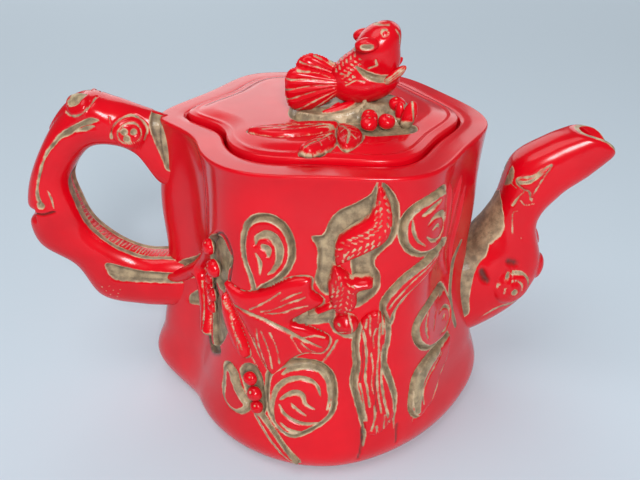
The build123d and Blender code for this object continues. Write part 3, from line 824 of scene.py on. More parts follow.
def work_squirrel(clay):
    body = clay.area(BODY)
    head = clay.disc(*HEAD)
    paw = clay.stroke(((8.6, 64.4, 1.4), (12.6, 64.2, 1.0)))
    arm = clay.stroke(((3.4, 57.4, 1.1), (0.4, 55.8, 1.0), (-2.6, 54.2, 0.6)))
    clay.swell(body, 2.9, 3.2)
    clay.height = np.maximum(clay.height, 3.0 * np.sqrt(np.clip(head / 3.0, 0, 1)))
    clay.height = np.maximum(clay.height, 1.7 * np.sqrt(np.clip(np.maximum(paw, arm) / 1.0, 0, 1)))
    clay.ticks(((5, 67.4), (6.4, 63.6), (6, 59.6), (5.6, 56)), (-2.9, -1.7, -0.5, 0.7, 1.9), 1.6, 0.9, 0.2)
    clay.scratch(((3.2, 54.9), (6, 55.2), (9.4, 54.2)), 0.28, 0.8)
    clay.scratch(((7.4, 54.6), (8.2, 51.6), (8.4, 48.6)), 0.2, 0.5)
    clay.scratch(((5, 49.2), (6.6, 50.2), (8.4, 49.6)), 0.2, 0.5)
    clay.cut(clay.disc(4.9, 52.2, 0.42), 0.5)
    clay.tan(np.minimum(clay.stroke(((-1.4, 54.8, 0.9), (-3, 54, 0.5))), 0.5))
    inside = np.maximum.reduce([body, head, paw, arm])
    clay.tan(0.1 - inside)
    return inside


def work_trunk(clay):
    inside = clay.area(TRUNK)
    foot = smooth((clay.z - 12.5) / 9.0)
    clay.swell(inside, 1.5, 2.2)
    clay.height *= 0.25 + 0.75 * foot
    clay.tan(1.0 - inside - 3.0 * (1 - foot) - 1.2 * smooth((clay.z - 50) / 3.0))
    grooves = (((13, 54), (13, 50.5), (13.2, 47.6)), ((14.6, 50), (14, 47), (14.2, 43.6)),
               ((11.2, 49.5), (12, 45), (12.4, 39.5), (12.2, 34), (12.9, 29.5), (13.6, 24)),
               ((13.5, 42), (14.2, 37), (14, 31.5), (14.6, 28)),
               ((15.6, 51.5), (15.4, 46), (15.6, 41.5), (15.4, 37), (15.5, 31.5), (16, 27), (17, 21)),
               ((16.6, 36), (16.7, 31.5), (17.7, 25), (19.2, 18.5)), ((18, 20), (18.3, 14)),
               ((10.8, 32), (11.6, 28), (12.2, 23.5), (13, 19)), ((15, 24), (15.2, 19), (14.6, 15)),
               ((16.6, 44), (16.4, 40)), ((12.2, 53), (11.8, 50.4)), ((16.2, 54), (16.4, 48)),
               ((15.2, 54.6), (15, 52)), ((16, 16.4), (16.6, 13)), ((19.6, 17), (20, 14)))
    for number, groove in enumerate(grooves):
        clay.scratch(groove, 0.2 + 0.07 * (number % 3), 0.7)
    clay.score(clay.line(((14.9, 34), (15, 28), (15.6, 22)), 0.12), 0.4)
    clay.score(clay.line(((11.4, 45), (11.4, 38), (10.9, 33)), 0.12), 0.4)
    return inside


def work_branch(clay):
    inside = pad(clay, BRANCH, 1.3, 1.6, 1.05)
    clay.scratch(((17.6, 56), (19.4, 59), (24, 64), (30, 67)), 0.22, 0.4)
    return inside


def work_spiral(clay):
    inside = pad(clay, SPIRAL, 1.1, 1.5, 1.0)
    clay.groove(((-10, 34.6, 0.4), (-8, 36.4, 0.8), (-4, 37.4, 0.8), (0, 36.2, 0.7), (2, 33, 0.6),
                 (2.6, 28, 0.5), (2, 24, 0.2)), 0.6)
    clay.groove(((-13, 19, 0.3), (-13.2, 24, 0.6), (-12, 29, 0.8), (-9.4, 32.2, 0.9), (-6, 33.7, 0.8),
                 (-2.8, 33.2, 0.7), (-0.6, 31, 0.5), (0.2, 28, 0.2)), 0.8)
    clay.groove(((-11, 26, 0.3), (-9, 27.8, 0.7), (-6.4, 29, 0.9), (-4.7, 28, 0.8), (-4, 25.6, 0.5),
                 (-1.6, 24, 0.2)), 0.8)
    clay.groove(((-11.2, 24.4, 0.2), (-10, 21.8, 0.55), (-7.5, 20, 0.6), (-4.4, 19.2, 0.55), (0, 19.6, 0.3)),
                0.7)
    clay.groove(((-8, 25.4, 0.2), (-6.6, 23.8, 0.5), (-3.8, 21.8, 0.2)), 0.6)
    clay.groove(((-11, 18.6, 0.2), (-9, 16.8, 0.5), (-5, 16.2, 0.5), (-1, 17.6, 0.2)), 0.6)
    return inside


def work_crescent(clay):
    inside = clay.area(CRESCENT)
    clay.swell(inside, 1.1, 1.4)
    clay.tan(1.5 - inside)
    clay.bare(clay.stroke(((-25.6, 27, 0.5), (-25.8, 23, 0.8), (-24.6, 20, 0.5))))
    clay.scratch(((-24.2, 26), (-23, 24.4), (-22, 22)), 0.25, 0.5)
    return inside


def work_lower_stem(clay):
    inside = clay.area(LOWER_STEM)
    clay.swell(inside, 1.0, 1.2)
    clay.tan(1.1 - inside)
    clay.bare(clay.stroke(((-17, 18.4, 0.3), (-13.4, 13.2, 0.55), (-9, 7.6, 0.2))))
    clay.score(clay.line(((-15.4, 17.4), (-12, 12.6), (-8.4, 7.6)), 0.12), 0.3)
    return inside


def work_twig(clay):
    inside = clay.area(TWIG)
    clay.swell(inside, 3.0, 2.9)
    clay.tan(0.05 - inside)
    clay.scratch(((-4.6, 44.4), (-2, 41), (-0.2, 38), (1.4, 34), (2.6, 30.4)), 0.22, 0.5)
    clay.scratch(((-8.2, 42), (-5.6, 38.4), (-3.4, 34)), 0.15, 0.4)
    clay.tan(clay.line(((-0.4, 29.4), (3.6, 30)), 0.7))
    return inside


def work_upper_scroll(clay):
    inside = pad(clay, UPPER_SCROLL, 1.1, 1.7, 1.1)
    clay.groove(((3, 81.4, 0.4), (5.6, 82.6, 0.8), (8.6, 83.6, 0.4)), 0.7)
    clay.groove(((4.6, 78.2, 0.2), (7, 79.8, 0.8), (10, 79.2, 0.9), (12, 76.6, 0.8), (12, 74, 0.6),
                 (9.6, 72.2, 0.5), (6.6, 73, 0.5), (4.4, 75, 0.2)), 0.8)
    clay.groove(((0.4, 80.6, 0.2), (0.6, 77.6, 0.45), (1.8, 74.8, 0.45), (4, 72.6, 0.2)), 0.6)
    clay.groove(((6.4, 76.4, 0.2), (8, 76.8, 0.5), (9.6, 75.4, 0.2)), 0.5)
    return inside


def work_side_scroll(clay):
    inside = pad(clay, SIDE_SCROLL, 1.2, 1.8, 1.1)
    clay.groove(((-5, 48.6, 0.3), (-5.6, 44, 0.6), (-4, 39, 0.3)), 0.7)
    clay.groove(((2.4, 45, 0.2), (0.4, 43, 0.4), (-0.4, 39.4, 0.2)), 0.6)
    clay.groove(((3.8, 42, 0.2), (8, 41.6, 0.55), (11.8, 39, 0.6), (12, 35.8, 0.5), (8.6, 33.8, 0.5),
                 (4.4, 34.6, 0.2)), 0.8)
    clay.groove(((6.4, 38.2, 0.2), (8.4, 38.6, 0.5), (8.6, 36.6, 0.2)), 0.6)
    clay.groove(((5, 47.6, 1.0), (9.4, 47.4, 1.0)), 0.5)
    return inside


def work_bud_leaf(clay):
    inside = pad(clay, BUD_LEAF, 1.5, 2.2, 0.7)
    clay.tan(clay.stroke(((3, 30.2, 0.8), (-3, 30, 1.6), (-7.6, 27, 1.9), (-9, 21, 1.6), (-9, 15.6, 1.0))))
    clay.groove(((4, 28.6, 0.2), (-1, 27.2, 0.4), (-4.6, 25.4, 0.5), (-7, 21.6, 0.4), (-6.4, 17, 0.2)), 0.6)
    clay.groove(((7.4, 24.6, 0.2), (2.6, 22.4, 0.4), (-0.6, 18.6, 0.4), (-3, 15.6, 0.2)), 0.6)
    clay.scratch(((-5, 29), (-8, 25.4), (-8.8, 21)), 0.2, 0.4)
    return inside


# ---------------------------------------------------------------- applied ornaments, back face
def work_back_branch(clay):
    inside = pad(clay, BACK_BRANCH, 1.8, 2.0, 0.3)
    for groove in (((30, 46), (22, 51.6), (12, 53.4), (2, 51.6)), ((26, 47.6), (16, 51.6), (8, 52)),
                   ((-2, 52.4), (-10, 54), (-18, 60), (-24, 67))):
        clay.scratch(groove, 0.24, 0.6)
    clay.cut(clay.disc(24, 49.6, 0.9), 0.6)
    return inside


def work_back_leaf(clay):
    inside = pad(clay, BACK_LEAF, 1.7, 3.0, 0.2)
    clay.groove(((3, 57, 0.5), (3.6, 66, 0.5), (7, 79, 0.2)), 0.8)
    for vein in (((3, 61), (-2, 65), (-4, 69)), ((3.4, 65), (0, 70), (-0.6, 75)),
                 ((3.6, 62), (8, 66), (11, 67)), ((4.4, 68), (7, 71), (9, 71.6))):
        clay.scratch(vein, 0.2, 0.5)
    return inside


def work_back_low_leaf(clay):
    inside = pad(clay, BACK_LOW_LEAF, 1.7, 3.0, 0.2)
    clay.groove(((-2, 47, 0.5), (-6, 40, 0.5), (-9, 30, 0.2)), 0.8)
    for vein in (((-5, 43), (-10, 40), (-14, 35)), ((-6.4, 39), (-10, 35), (-12, 32.6)),
                 ((-4.6, 42), (-3, 37), (-4, 33)), ((-7, 37), (-6, 32), (-7, 29))):
        clay.scratch(vein, 0.2, 0.5)
    return inside


def work_back_scroll(clay):
    inside = pad(clay, BACK_SCROLL, 1.1, 1.7, 1.0)
    clay.groove(((15, 40, 0.2), (14, 34, 0.6), (17, 29, 0.8), (22, 29, 0.8), (24.6, 33, 0.7),
                 (23, 37.6, 0.6), (19, 37.6, 0.5), (18.4, 34, 0.2)), 0.8)
    clay.groove(((17, 42.4, 0.2), (21, 42, 0.5), (24, 40, 0.2)), 0.6)
    return inside


def work_back_curl(clay):
    inside = pad(clay, BACK_CURL, 1.1, 1.6, 1.0)
    clay.groove(((19, 64, 0.2), (19, 69, 0.6), (22, 72, 0.7), (25, 70, 0.7), (25.4, 66, 0.5),
                 (22.6, 64.6, 0.2)), 0.8)
    return inside


def make_sprigs():
    front, flute, shoulder = on_wall(FRONT), on_wall(SPOUT_FLUTE), on_wall(SPOUT_SHOULDER)
    for name, outline, work, place in (
            ("teardrop_scroll", EAR, work_teardrop, front), ("vine_leaf", VINE_LEAF, work_vine_leaf, front),
            ("narrow_leaf", NARROW_LEAF, work_narrow_leaf, front), ("squirrel_tail", TAIL, work_tail, front),
            ("squirrel", BODY + ((-4, 53), (10.4, 47.6), (14, 64)), work_squirrel, front),
            ("tree_trunk", TRUNK, work_trunk, front), ("trunk_branch", BRANCH, work_branch, front),
            ("spiral_scroll", SPIRAL, work_spiral, front), ("crescent_scroll", CRESCENT, work_crescent,
                                                            front),
            ("lower_stem", LOWER_STEM, work_lower_stem, front),
                                       ("upper_scroll", UPPER_SCROLL, work_upper_scroll, shoulder),
            ("side_scroll", SIDE_SCROLL, work_side_scroll, flute),
                                       ("bud_leaf", BUD_LEAF, work_bud_leaf, flute),
            ("handle_twig", TWIG, work_twig, on_wall(HANDLE_SIDE)),
            ("back_branch", BACK_BRANCH, work_back_branch, on_wall(BACK)),
                                       ("back_leaf", BACK_LEAF, work_back_leaf, on_wall(BACK)),
            ("back_low_leaf", BACK_LOW_LEAF, work_back_low_leaf, on_wall(BACK)),
            ("back_scroll", BACK_SCROLL, work_back_scroll, on_wall(BACK)),
                                       ("back_curl", BACK_CURL, work_back_curl, on_wall(BACK))):
        relief(name, [(outline, work)], place,
               slot="branch_gloss" if name == "handle_twig" else "ornament_gloss")


make_sprigs()


# ---------------------------------------------------------------- berries
def ball(subdivisions):
    """Points and faces of a unit ball."""
    form = bmesh.new()
    bmesh.ops.create_icosphere(form, subdivisions=subdivisions, radius=1)
    points = np.array([vert.co for vert in form.verts])
    faces = np.array([[vert.index for vert in face.verts] for face in form.faces])
    form.free()
    return points, faces


def berry(centre, radius, outwards, seed):
    """One berry: a little uneven, dimpled at its crown, and darkened with painted shade where it sits."""
    points, faces = ball(4)
    out = np.array(outwards) / np.linalg.norm(outwards)
    crown = out * 0.75 + np.array([0.35 * math.sin(seed * 2.1), 0.1, 0.5])
    crown = crown / np.linalg.norm(crown)
    facing = points @ crown
    swell = 1 + 0.035 * np.sin(3 * points[:, 0] + seed) * np.sin(4 * points[:, 2] + 2 * seed)
    swell -= 0.16 * np.exp(-((1 - facing) / 0.035))
    shape = points * swell[:, None]
    lift = shape @ out
    shape = shape - 0.18 * lift[:, None] * out
    patina = np.maximum((-0.25 - lift) * radius, 0.32 - radius * np.arccos(np.clip(facing, -1, 1)))
    # painted shade under the berry, where it meets the wall
    painted_shade = smooth((-0.2 - lift) * 1.6)
    return np.array(centre) + shape * radius, faces, patina, painted_shade


def make_berries(name, spots, body="pot"):
    """A node's berries. Each spot is (centre, radius, direction outwards)."""
    lumps = [berry(*spot, seed + len(name)) for seed, spot in enumerate(spots)]
    add_piece(name, *joined(lumps), body)


def wall_spots(azimuth, discs):
    place, spots = on_wall(azimuth), []
    for u, z, radius in discs:
        at = np.array([[float(u)], [float(z)]])
        foot, tip = place(at[0], at[1], np.array([0.0]))[0], place(at[0], at[1], np.array([1.0]))[0]
        spots.append((foot + (tip - foot) * 0.35 * radius, radius, tip - foot))
    return spots


LID_BERRIES = ((13.2, -14.6, 96.8), (12.8, -18.6, 96.6), (17.6, -16.8, 96.4), (21.0, -9.5, 98.6))
make_berries("upper_berries", wall_spots(HANDLE_FLUTE, UPPER_BERRIES))
make_berries("lower_berries", wall_spots(HANDLE_FLUTE, LOWER_BERRIES))
make_berries("berry_trio", wall_spots(FRONT, BERRY_TRIO))
make_berries("back_berries", wall_spots(BACK, BACK_BERRIES))
make_berries("lid_berries", [(centre, 2.3, (0.1, -0.5, 1)) for centre in LID_BERRIES], "lid")

# ---------------------------------------------------------------- handle and spout
HANDLE_STATIONS = (
    ((-44, 92), (-42, 68), 4.5), ((-51, 94.5), (-48.5, 71), 5.0), ((-59.5, 97.3), (-53, 80), 6.5),
    ((-67.5, 98.6), (-60, 83.6), 7.0), ((-77, 90.5), (-68, 82.6), 6.8), ((-86.5, 75.5), (-75, 73.5), 6.8),
    ((-90.4, 63), (-74, 64), 7.2), ((-89.5, 51), (-71.4, 57), 7.2), ((-79.5, 42.5), (-66, 51), 7.0),
    ((-73, 30), (-60, 47.6), 7.2), ((-60, 26.6), (-55, 46), 7.5), ((-49, 26), (-49, 46), 7.5),
    ((-43, 26.5), (-43, 45.5), 7.0),
)
SPOUT_STATIONS = (
    ((42, 15), (38, 50), 13.0), ((53, 19), (46, 51), 12.5), ((66, 29), (50, 56), 11.0),
                  ((71.5, 42), (52.5, 60.5), 9.0),
    ((68, 58), (55, 66), 7.8), ((73.5, 67.5), (58, 78.5), 7.6), ((81, 74), (67, 85), 7.2),
                  ((87.3, 80.7), (75, 88.3), 6.6),
)
SQUARENESS = 2.5  # exponent of a limb's section: 2 is an ellipse


class Limb:
    """A swept branch in the XZ plane: rings of points, their normals and clay on them."""

    def __init__(self, stations, rows, columns, shrink=0.0):
        flat = [(*outer, *inner, half_width) for outer, inner, half_width in stations]
        path = flowing(flat, steps=40)
        steps = np.hypot(*np.diff((path[:, :2] + path[:, 2:4]) / 2, axis=0).T)
        along = np.concatenate([[0], np.cumsum(steps)])
        length = np.linspace(0, along[-1], rows)
        ox, oz, ix, iz, half = (np.interp(length, along, path[:, k])[:, None] for k in range(5))
        turn = np.linspace(0, 2 * math.pi, columns, endpoint=False)[None, :]
        cos, sin = np.cos(turn), np.sin(turn)
        a = np.sign(cos) * np.abs(cos) ** (2 / SQUARENESS)
        b = np.sign(sin) * np.abs(sin) ** (2 / SQUARENESS)
        depth = np.hypot(ox - ix, oz - iz) / 2
        reach = 1 - shrink / depth
        x = (ox + ix) / 2 + (ox - ix) / 2 * reach * a
        z = (oz + iz) / 2 + (oz - iz) / 2 * reach * a
        y = -(half - shrink) * b
        self.rows, self.columns = rows, columns
        self.points = np.stack([x, y + 0 * x, z], -1)
        around = np.roll(self.points, -1, 1) - np.roll(self.points, 1, 1)
        forward = np.gradient(self.points, axis=0)
        normal = np.cross(around, forward)
        normal /= np.linalg.norm(normal, axis=-1, keepdims=True)
        middle = np.stack([(ox + ix) / 2, 0 * ox, (oz + iz) / 2], -1)
        if np.mean(np.sum(normal * (self.points - middle), -1)) < 0:
            normal = -normal
        self.normal = normal
        self.outwards = np.stack([ox - ix, 0 * ox, oz - iz], -1) / (2 * depth[..., None])
        self.length = np.broadcast_to(length[:, None], x.shape)
        self.clay = Clay(x.ravel().copy(), z.ravel().copy())

    def flank(self, side):
        """Works the near (side -1) or far (side 1) flank, in x and z."""
        shown = self.normal[..., 1].ravel() * side > 0.12
        self.clay.u = np.where(shown, self.points[..., 0].ravel(), AWAY)
        self.clay.z = self.points[..., 2].ravel()
        return self.clay

    def edge(self, outer):
        """Works the outer or inner edge, in length along the limb and y."""
        facing = np.sum(self.normal * self.outwards, -1) * (1 if outer else -1)
        self.clay.u = np.where(facing.ravel() > 0.35, self.length.ravel(), AWAY)
        self.clay.z = self.points[..., 1].ravel()
        return self.clay

    def finished(self):
        height = self.clay.height.reshape(self.length.shape)[..., None]
        return (self.points + self.normal * height).reshape(-1, 3)


def carve_handle_flank(clay, near_side):
    wiggle = ((-62, 93, 0.3), (-64.5, 92.8, 0.9), (-67.5, 91.6, 0.8), (-71, 89.6, 1.0), (-74, 88, 0.7),
              (-76, 86, 0.6), (-78.5, 83.4, 0.45), (-80.5, 80.4, 0.4), (-82, 77, 0.45), (-83.5, 73.4, 0.4),
              (-84.4, 70, 0.55), (-84.2, 66.6, 0.8))
    clay.groove(wiggle, 0.9, 0.8)
    clay.groove(((-63.4, 91, 0.3), (-66.5, 90.4, 0.6), (-68.6, 89.8, 0.3)), 0.7)
    clay.cut(clay.disc(-84.2, 66, 1.3), 0.8)
    clay.swell(clay.disc(-68, 97, 3.4), 0.8, 2.0)
    clay.groove(((-70, 96.4, 0.5), (-68, 97.4, 0.9), (-66, 98.8, 0.6)), 0.6)
    clay.scratch(((-71.6, 94.6), (-69, 94), (-66, 95), (-63.6, 97.4), (-62.6, 99)), 0.25, 0.5)
    clay.swell(clay.disc(-54.2, 88.8, 4.6), 1.0, 2.5)
    clay.scratch(((-59.4, 87.6), (-58.6, 90.6), (-56.4, 92.8), (-53.4, 93.4), (-50.8, 92), (-49.4, 89.4),
                  (-50.4, 86.6)), 0.3, 0.6)
    clay.cut(clay.line(oval(-54.2, 88.8, 3.1, 2.8), 0.22, closed=True), 0.5)
    for u, z in ((-55.6, 89.5), (-53.1, 89.1), (-55, 87.4)):
        clay.cut(clay.disc(u, z, 0.95), 0.6)
    clay.scratch(((-59, 93.6), (-59, 92)), 0.2, 0.3)
    clay.groove(((-81, 71, 0.15), (-80.4, 68, 0.3), (-80.4, 65, 0.15)), 0.4)
    clay.score(clay.line(((-87.5, 63.2), (-84, 63), (-80.5, 64)), 0.3), 0.9)
    if near_side:
        clay.hollow_out(((-68, 45.4), (-62.5, 43.8), (-57, 42.4), (-50, 41.8), (-44, 41), (-43, 38),
                         (-51, 38), (-59, 38.4), (-66, 39), (-68, 42)), 1.2, 0.8)
        for u, z in ((-71, 36), (-69.8, 34.4), (-68.4, 36.6), (-67.2, 35), (-66, 33.6), (-68.8, 32.8),
                     (-65, 35.4), (-66.6, 32)):
            clay.cut(clay.disc(u, z, 0.3), 0.25)
    collar = clay.area(((-47.6, 96), (-43, 96.4), (-42, 78), (-45.2, 76.6), (-46.4, 80.5), (-48.2, 87),
                        (-48.8, 91)))
    clay.sink(collar, 0.5, 0.8)
    clay.score(clay.line(((-45.4, 93), (-46, 86), (-45.6, 78.6)), 0.15), 0.3)


def carve_handle_channel(clay, length_at):
    """The rough inner channel, with short lines across it."""
    start, end = length_at(-74.6, 74), length_at(-46, 46)
    clay.groove(((start, 0, 1.0), (start + 8, 0, 3.6), (end, 0, 4.2)), 0.9, 1.4)
    clay.bare(clay.stroke(((start + 4, 1.2, 0.5), ((start + end) / 2, 0.4, 2.4), (end - 3, 0.4, 2.6))))
    for number, place in enumerate(np.arange(start + 8, end - 2, 1.7)):
        reach = 1.2 + 0.6 * (number * 7 % 3)
        clay.scratch(((place, -reach), (place + 1.1, reach)), 0.17, 0.25)


def make_handle():
    limb = Limb(HANDLE_STATIONS, 420, 112)
    centre = limb.points.mean(1)

    def length_at(x, z):
        return limb.length[np.argmin(np.hypot(centre[:, 0] - x, centre[:, 2] - z)), 0]

    carve_handle_flank(limb.flank(-1), True)
    carve_handle_flank(limb.flank(1), False)
    carve_handle_channel(limb.edge(False), length_at)
    top = limb.edge(True)
    top.swell(top.stroke(((length_at(-66, 92), -2, 2.5), (length_at(-74, 86), 1, 2.0))), 0.7, 2.5)
    notch = length_at(-82, 62.6)
    top.height -= 2.4 * np.exp(-(((top.u - notch) / 1.5) ** 2))
    # painted shade in the notch
    top.paint_shade(0.7 * np.exp(-(((top.u - notch) / 0.9) ** 2)))
    points = np.vstack([limb.finished(), centre[:1], centre[-1:]])
    faces = capped_faces(limb.rows, limb.columns, len(points) - 2, len(points) - 1)
    patina = np.concatenate([limb.clay.patina, [FAR, FAR]])
    painted_shade = np.concatenate([limb.clay.painted_shade, [0, 0]])
    add_piece("handle_branch", points, faces, patina, painted_shade, "pot", "handle", "branch_gloss")


def carve_spout_flank(clay):
    mark = ((58.4, 73.2), (59, 74.8), (62.5, 76), (64.8, 78), (67.4, 79.4), (66, 76.5), (64.6, 73.5),
            (63.6, 70.5), (63, 68.2), (62, 71), (60.4, 71.6))
    clay.swell(clay.area(mark), 0.5, 1.2)
    clay.cut(clay.line(mark, 0.3, closed=True), 0.5)
    clay.groove(((59.4, 73.6, 0.6), (62, 74.4, 0.5), (65.6, 77.6, 0.15)), 0.4)
    clay.groove(((58, 66, 0.35), (59, 68.4, 0.3), (60.6, 71, 0.2)), 0.5)
    clay.scratch(((60, 68), (61.5, 66.6), (64, 67)), 0.2, 0.4)
    clay.scratch(((56.6, 74.6), (57, 72.6), (58.4, 71.6)), 0.18, 0.3)
    clay.scratch(((59.5, 64.5), (58.4, 63.8), (58.4, 61.6), (59, 57)), 0.17, 0.3)
    clay.cut(clay.disc(62, 55.5, 0.35), 0.3)
    for pit in (((50.6, 45, 1.0), (51.4, 43, 1.2), (52.6, 41.8, 0.8)), ((58.8, 48.0, 0.9), (61, 47.2, 0.9))):
        hollow = clay.stroke(pit)
        clay.height -= 1.0 * smooth((hollow + 0.8) / 1.8)
        # painted shade in the pit
        clay.paint_shade(0.85 * smooth((hollow + 0.5) / 1.2))
    clay.swell(clay.disc(61.2, 38.4, 6.0), 1.6, 4.0)
    clay.groove(((55.6, 38.6, 0.2), (56.4, 41.4, 0.4), (58.4, 43.4, 0.6), (61, 44.1, 0.6), (63.8, 43.4, 0.5),
                 (65.6, 41.2, 0.4), (66.2, 38.4, 0.2)), 0.8)
    clay.groove(((58, 37.4, 0.2), (58.2, 39.6, 0.3), (59.6, 41.4, 0.35), (61.8, 41.6, 0.3), (63.4, 40, 0.25),
                 (63.8, 37.6, 0.15)), 0.6)
    clay.swell(clay.disc(61, 38.2, 2.2), 0.5, 1.2)
    clay.cut(clay.disc(61, 38, 1.1), 0.6)
    flank = clay.area(((57, 77), (50.5, 71), (44, 66), (40, 56), (40, 28), (47.6, 29), (47.4, 36), (48, 43),
                       (49.6, 47.4), (51.6, 50), (52.4, 53.6), (52, 58), (54, 62), (54.2, 66), (55.2, 69.5),
                       (57.4, 73)))
    clay.tan(flank)
    # painted shade over the flank near the body, over the patina
    clay.paint_shade(0.32 * smooth(flank / 3.0))
    under = clay.stroke(((52, 27.5, 0.1), (58, 31, 0.5), (64, 31.6, 0.4), (69, 35.4, 0.3)))
    clay.tan(under)
    # painted shade under the spout, over the patina
    clay.paint_shade(0.3 * smooth(under + 0.5))


def make_spout():
    outer = Limb(SPOUT_STATIONS, 230, 128)
    for side in (-1, 1):
        carve_spout_flank(outer.flank(side))
    knobs = outer.edge(True)
    reach = outer.length.max()
    for share, across, size in ((0.42, -2.5, 3.2), (0.30, 3.0, 3.0), (0.5, 2.0, 2.2)):
        knobs.swell(knobs.disc(reach * share, across, size), 1.3, size * 0.8)
        knobs.cut(knobs.disc(reach * share, across, size * 0.35), 0.5)
    top = outer.edge(False)
    top.tan(top.stroke(((0, 0, 9.0), (reach * 0.45, 0, 7.5), (reach * 0.56, 0, 2.0), (reach * 0.6, 0, 0.3))))
    inner = Limb(SPOUT_STATIONS, 60, 128, shrink=1.9)
    direction = np.array([0.86, 0, 0.5])
    from_tip = outer.length.max() - outer.length.ravel()
    lip = np.clip(1 - from_tip / 2.2, 0, 1)
    outer.clay.height -= 1.1 * (1 - np.sqrt(1 - lip**2))
    outer.clay.tan(0.3 - from_tip)
    body = outer.finished().reshape(outer.points.shape)
    across = np.sum((body - body.mean(1, keepdims=True)) * outer.outwards, -1)
    across /= np.abs(across).max(1, keepdims=True)
    swept = 2.2 * (1 - across**2) * smooth(1 - from_tip.reshape(across.shape) / 9)
    body = body + direction * swept[..., None]
    inner_tip = inner.points[-1] + direction * swept[-1][:, None]
    tip = body[-1]
    body = body.reshape(-1, 3)
    lip_rows = [tip + (inner_tip - tip) * share + direction * ahead for share,
                ahead in ((0.3, 0.25), (0.65, 0.2))]
    points = np.vstack([body, *lip_rows, inner.points[::-1].reshape(-1, 3)])
    rows = outer.rows + len(lip_rows) + inner.rows
    faces = [list(face) for face in grid_faces(rows, outer.columns, wrap_columns=True, wrap_rows=True)]
    extra = len(points) - len(body)
    lip_patina = np.full(extra, FAR)
    lip_patina[:2 * outer.columns] = 0.15
    patina = np.concatenate([outer.clay.patina, lip_patina])
    painted_shade = np.concatenate([outer.clay.painted_shade, np.zeros(extra)])
    add_piece("spout_branch", points, faces, patina, painted_shade, "pot", "spout", "pot_gloss")


make_handle()
make_spout()

# ---------------------------------------------------------------- lid
MOUND = ((-8, -4), (-6.5, -10), (0, -12.5), (8, -12), (15, -12.5), (22, -13), (25.5, -8),
         (25, 0), (19, 6), (10, 8), (0, 6), (-6, 2))
LEAF_LEFT = ((5, -14.5), (-1, -13.5), (-8, -14.5), (-14, -16.5), (-19, -18.5), (-15, -21.5), (-8, -22.5),
             (0, -20))
LEAF_FRONT = ((3.5, -21.5), (0, -23), (-3, -27), (-5, -31), (-2.5, -33), (1.5, -30.5), (4, -26.5))
LEAF_RIGHT = ((5.2, -16), (9, -17), (11, -21.5), (10, -26.5), (6.5, -30), (4.6, -26), (4.4, -20))
# Each leaf: its piece, outline, midrib and side veins.
LID_LEAVES = (
    ("lid_leaf_left", LEAF_LEFT, ((5, -16.6), (-6, -17.8), (-18, -18.7)), (
        ((2, -17), (-4, -15.6), (-9, -15.8)), ((-4, -17.6), (-10, -16.6), (-14, -17.4)),
        ((1, -17.4), (-5, -20), (-10, -21)), ((-7, -18), (-12, -20), (-15, -20.4)),
                                                                           ((3, -17.4), (-1, -19.4)))),
    ("lid_leaf_front", LEAF_FRONT, ((3.4, -22.4), (0.6, -27), (-3.6, -31.8)), (
        ((1.8, -24.6), (-1, -26)), ((0.6, -27), (-2.4, -28.4)), ((1.6, -25), (2.6, -28)),
        ((-0.4, -28.6), (0.4, -30.6)))),
    ("lid_leaf_right", LEAF_RIGHT, ((5.2, -17), (7.4, -22), (6.8, -29)), (
        ((6, -18.6), (8.6, -19.6)), ((7, -21), (9.8, -23)), ((7.4, -23.6), (9, -26.6)),
        ((6.6, -20), (5.2, -22.6)), ((7.2, -24), (5.6, -27)))),
)


LID_PROFILE = (  # inset from the seat's edge and height, from the border down, round the skirt and back up
    (LID_GAP + 0.35, LID_TOP - 1.62), (LID_GAP + 0.1, LID_TOP - 1.9), (LID_GAP, LID_SHOULDER - 0.6),
    (LID_GAP, LID_BOTTOM + 0.4), (LID_GAP + 0.4, LID_BOTTOM), (LEDGE + 0.8, LID_BOTTOM),
    (LEDGE + 0.8, SKIRT_BOTTOM + 0.4), (LEDGE + 1.1, SKIRT_BOTTOM), (LEDGE + SKIRT_WALL + 0.5, SKIRT_BOTTOM),
    (LEDGE + SKIRT_WALL + 0.8, SKIRT_BOTTOM + 0.4), (LEDGE + SKIRT_WALL + 0.8, LID_BOTTOM - 0.3),
    (LEDGE + SKIRT_WALL + 1.4, LID_BOTTOM),
)


def carve_lid(clay):
    clay.moat(MOUND, 1.0, 0.5)
    for leaf in (LEAF_LEFT, LEAF_FRONT, LEAF_RIGHT):
        clay.moat(leaf, 0.5, 0.4, 0.4)
    clay.hollow_out(((6, -14), (12, -13), (24, -14), (26, -17), (22, -21), (14, -22.6), (11, -21), (9, -17)),
                    0.5)


def make_lid():
    """The lid: worked top, sloping border, edge, underside and locating skirt, as one closed skin."""
    angles = np.radians(np.arange(0, 360, 0.75))
    rim = wall_radius(angles, np.full(angles.shape, POT_HEIGHT))
    top = rim - RIM_BAND - LID_GAP - 0.7
    rings, tops = [], 84
    for share in np.linspace(0.02, 1, tops):
        bead = 0.4 * math.exp(-(((share - 0.965) / 0.02) ** 2))
        height = LID_TOP - 1.5 * smooth((share - 0.8) / 0.2) + bead
        rings.append(level_ring(top * share, angles, height))
    for inset, height in LID_PROFILE:
        rings.append(level_ring(rim - RIM_BAND - inset, angles, height))
    points = np.vstack(rings)
    clay = Clay(points[:, 0].copy(), points[:, 1].copy())
    carve_lid(clay)
    worked = np.arange(len(points)) < tops * len(angles)
    points[worked, 2] += clay.height[worked]
    patina = np.where(worked, clay.patina, FAR)
    painted_shade = np.where(worked, clay.painted_shade, 0)
    points = np.vstack([points, (0, 0, LID_TOP + clay.height[0]), (0, 0, LID_BOTTOM)])
    faces = capped_faces(len(rings), len(angles), len(points) - 2, len(points) - 1)
    patina, painted_shade = np.append(patina, [patina[0], FAR]), np.append(painted_shade, [0, 0])
    add_piece("lid_plate", points, faces, patina, painted_shade, "lid", "lid", "pot_gloss")


make_lid()


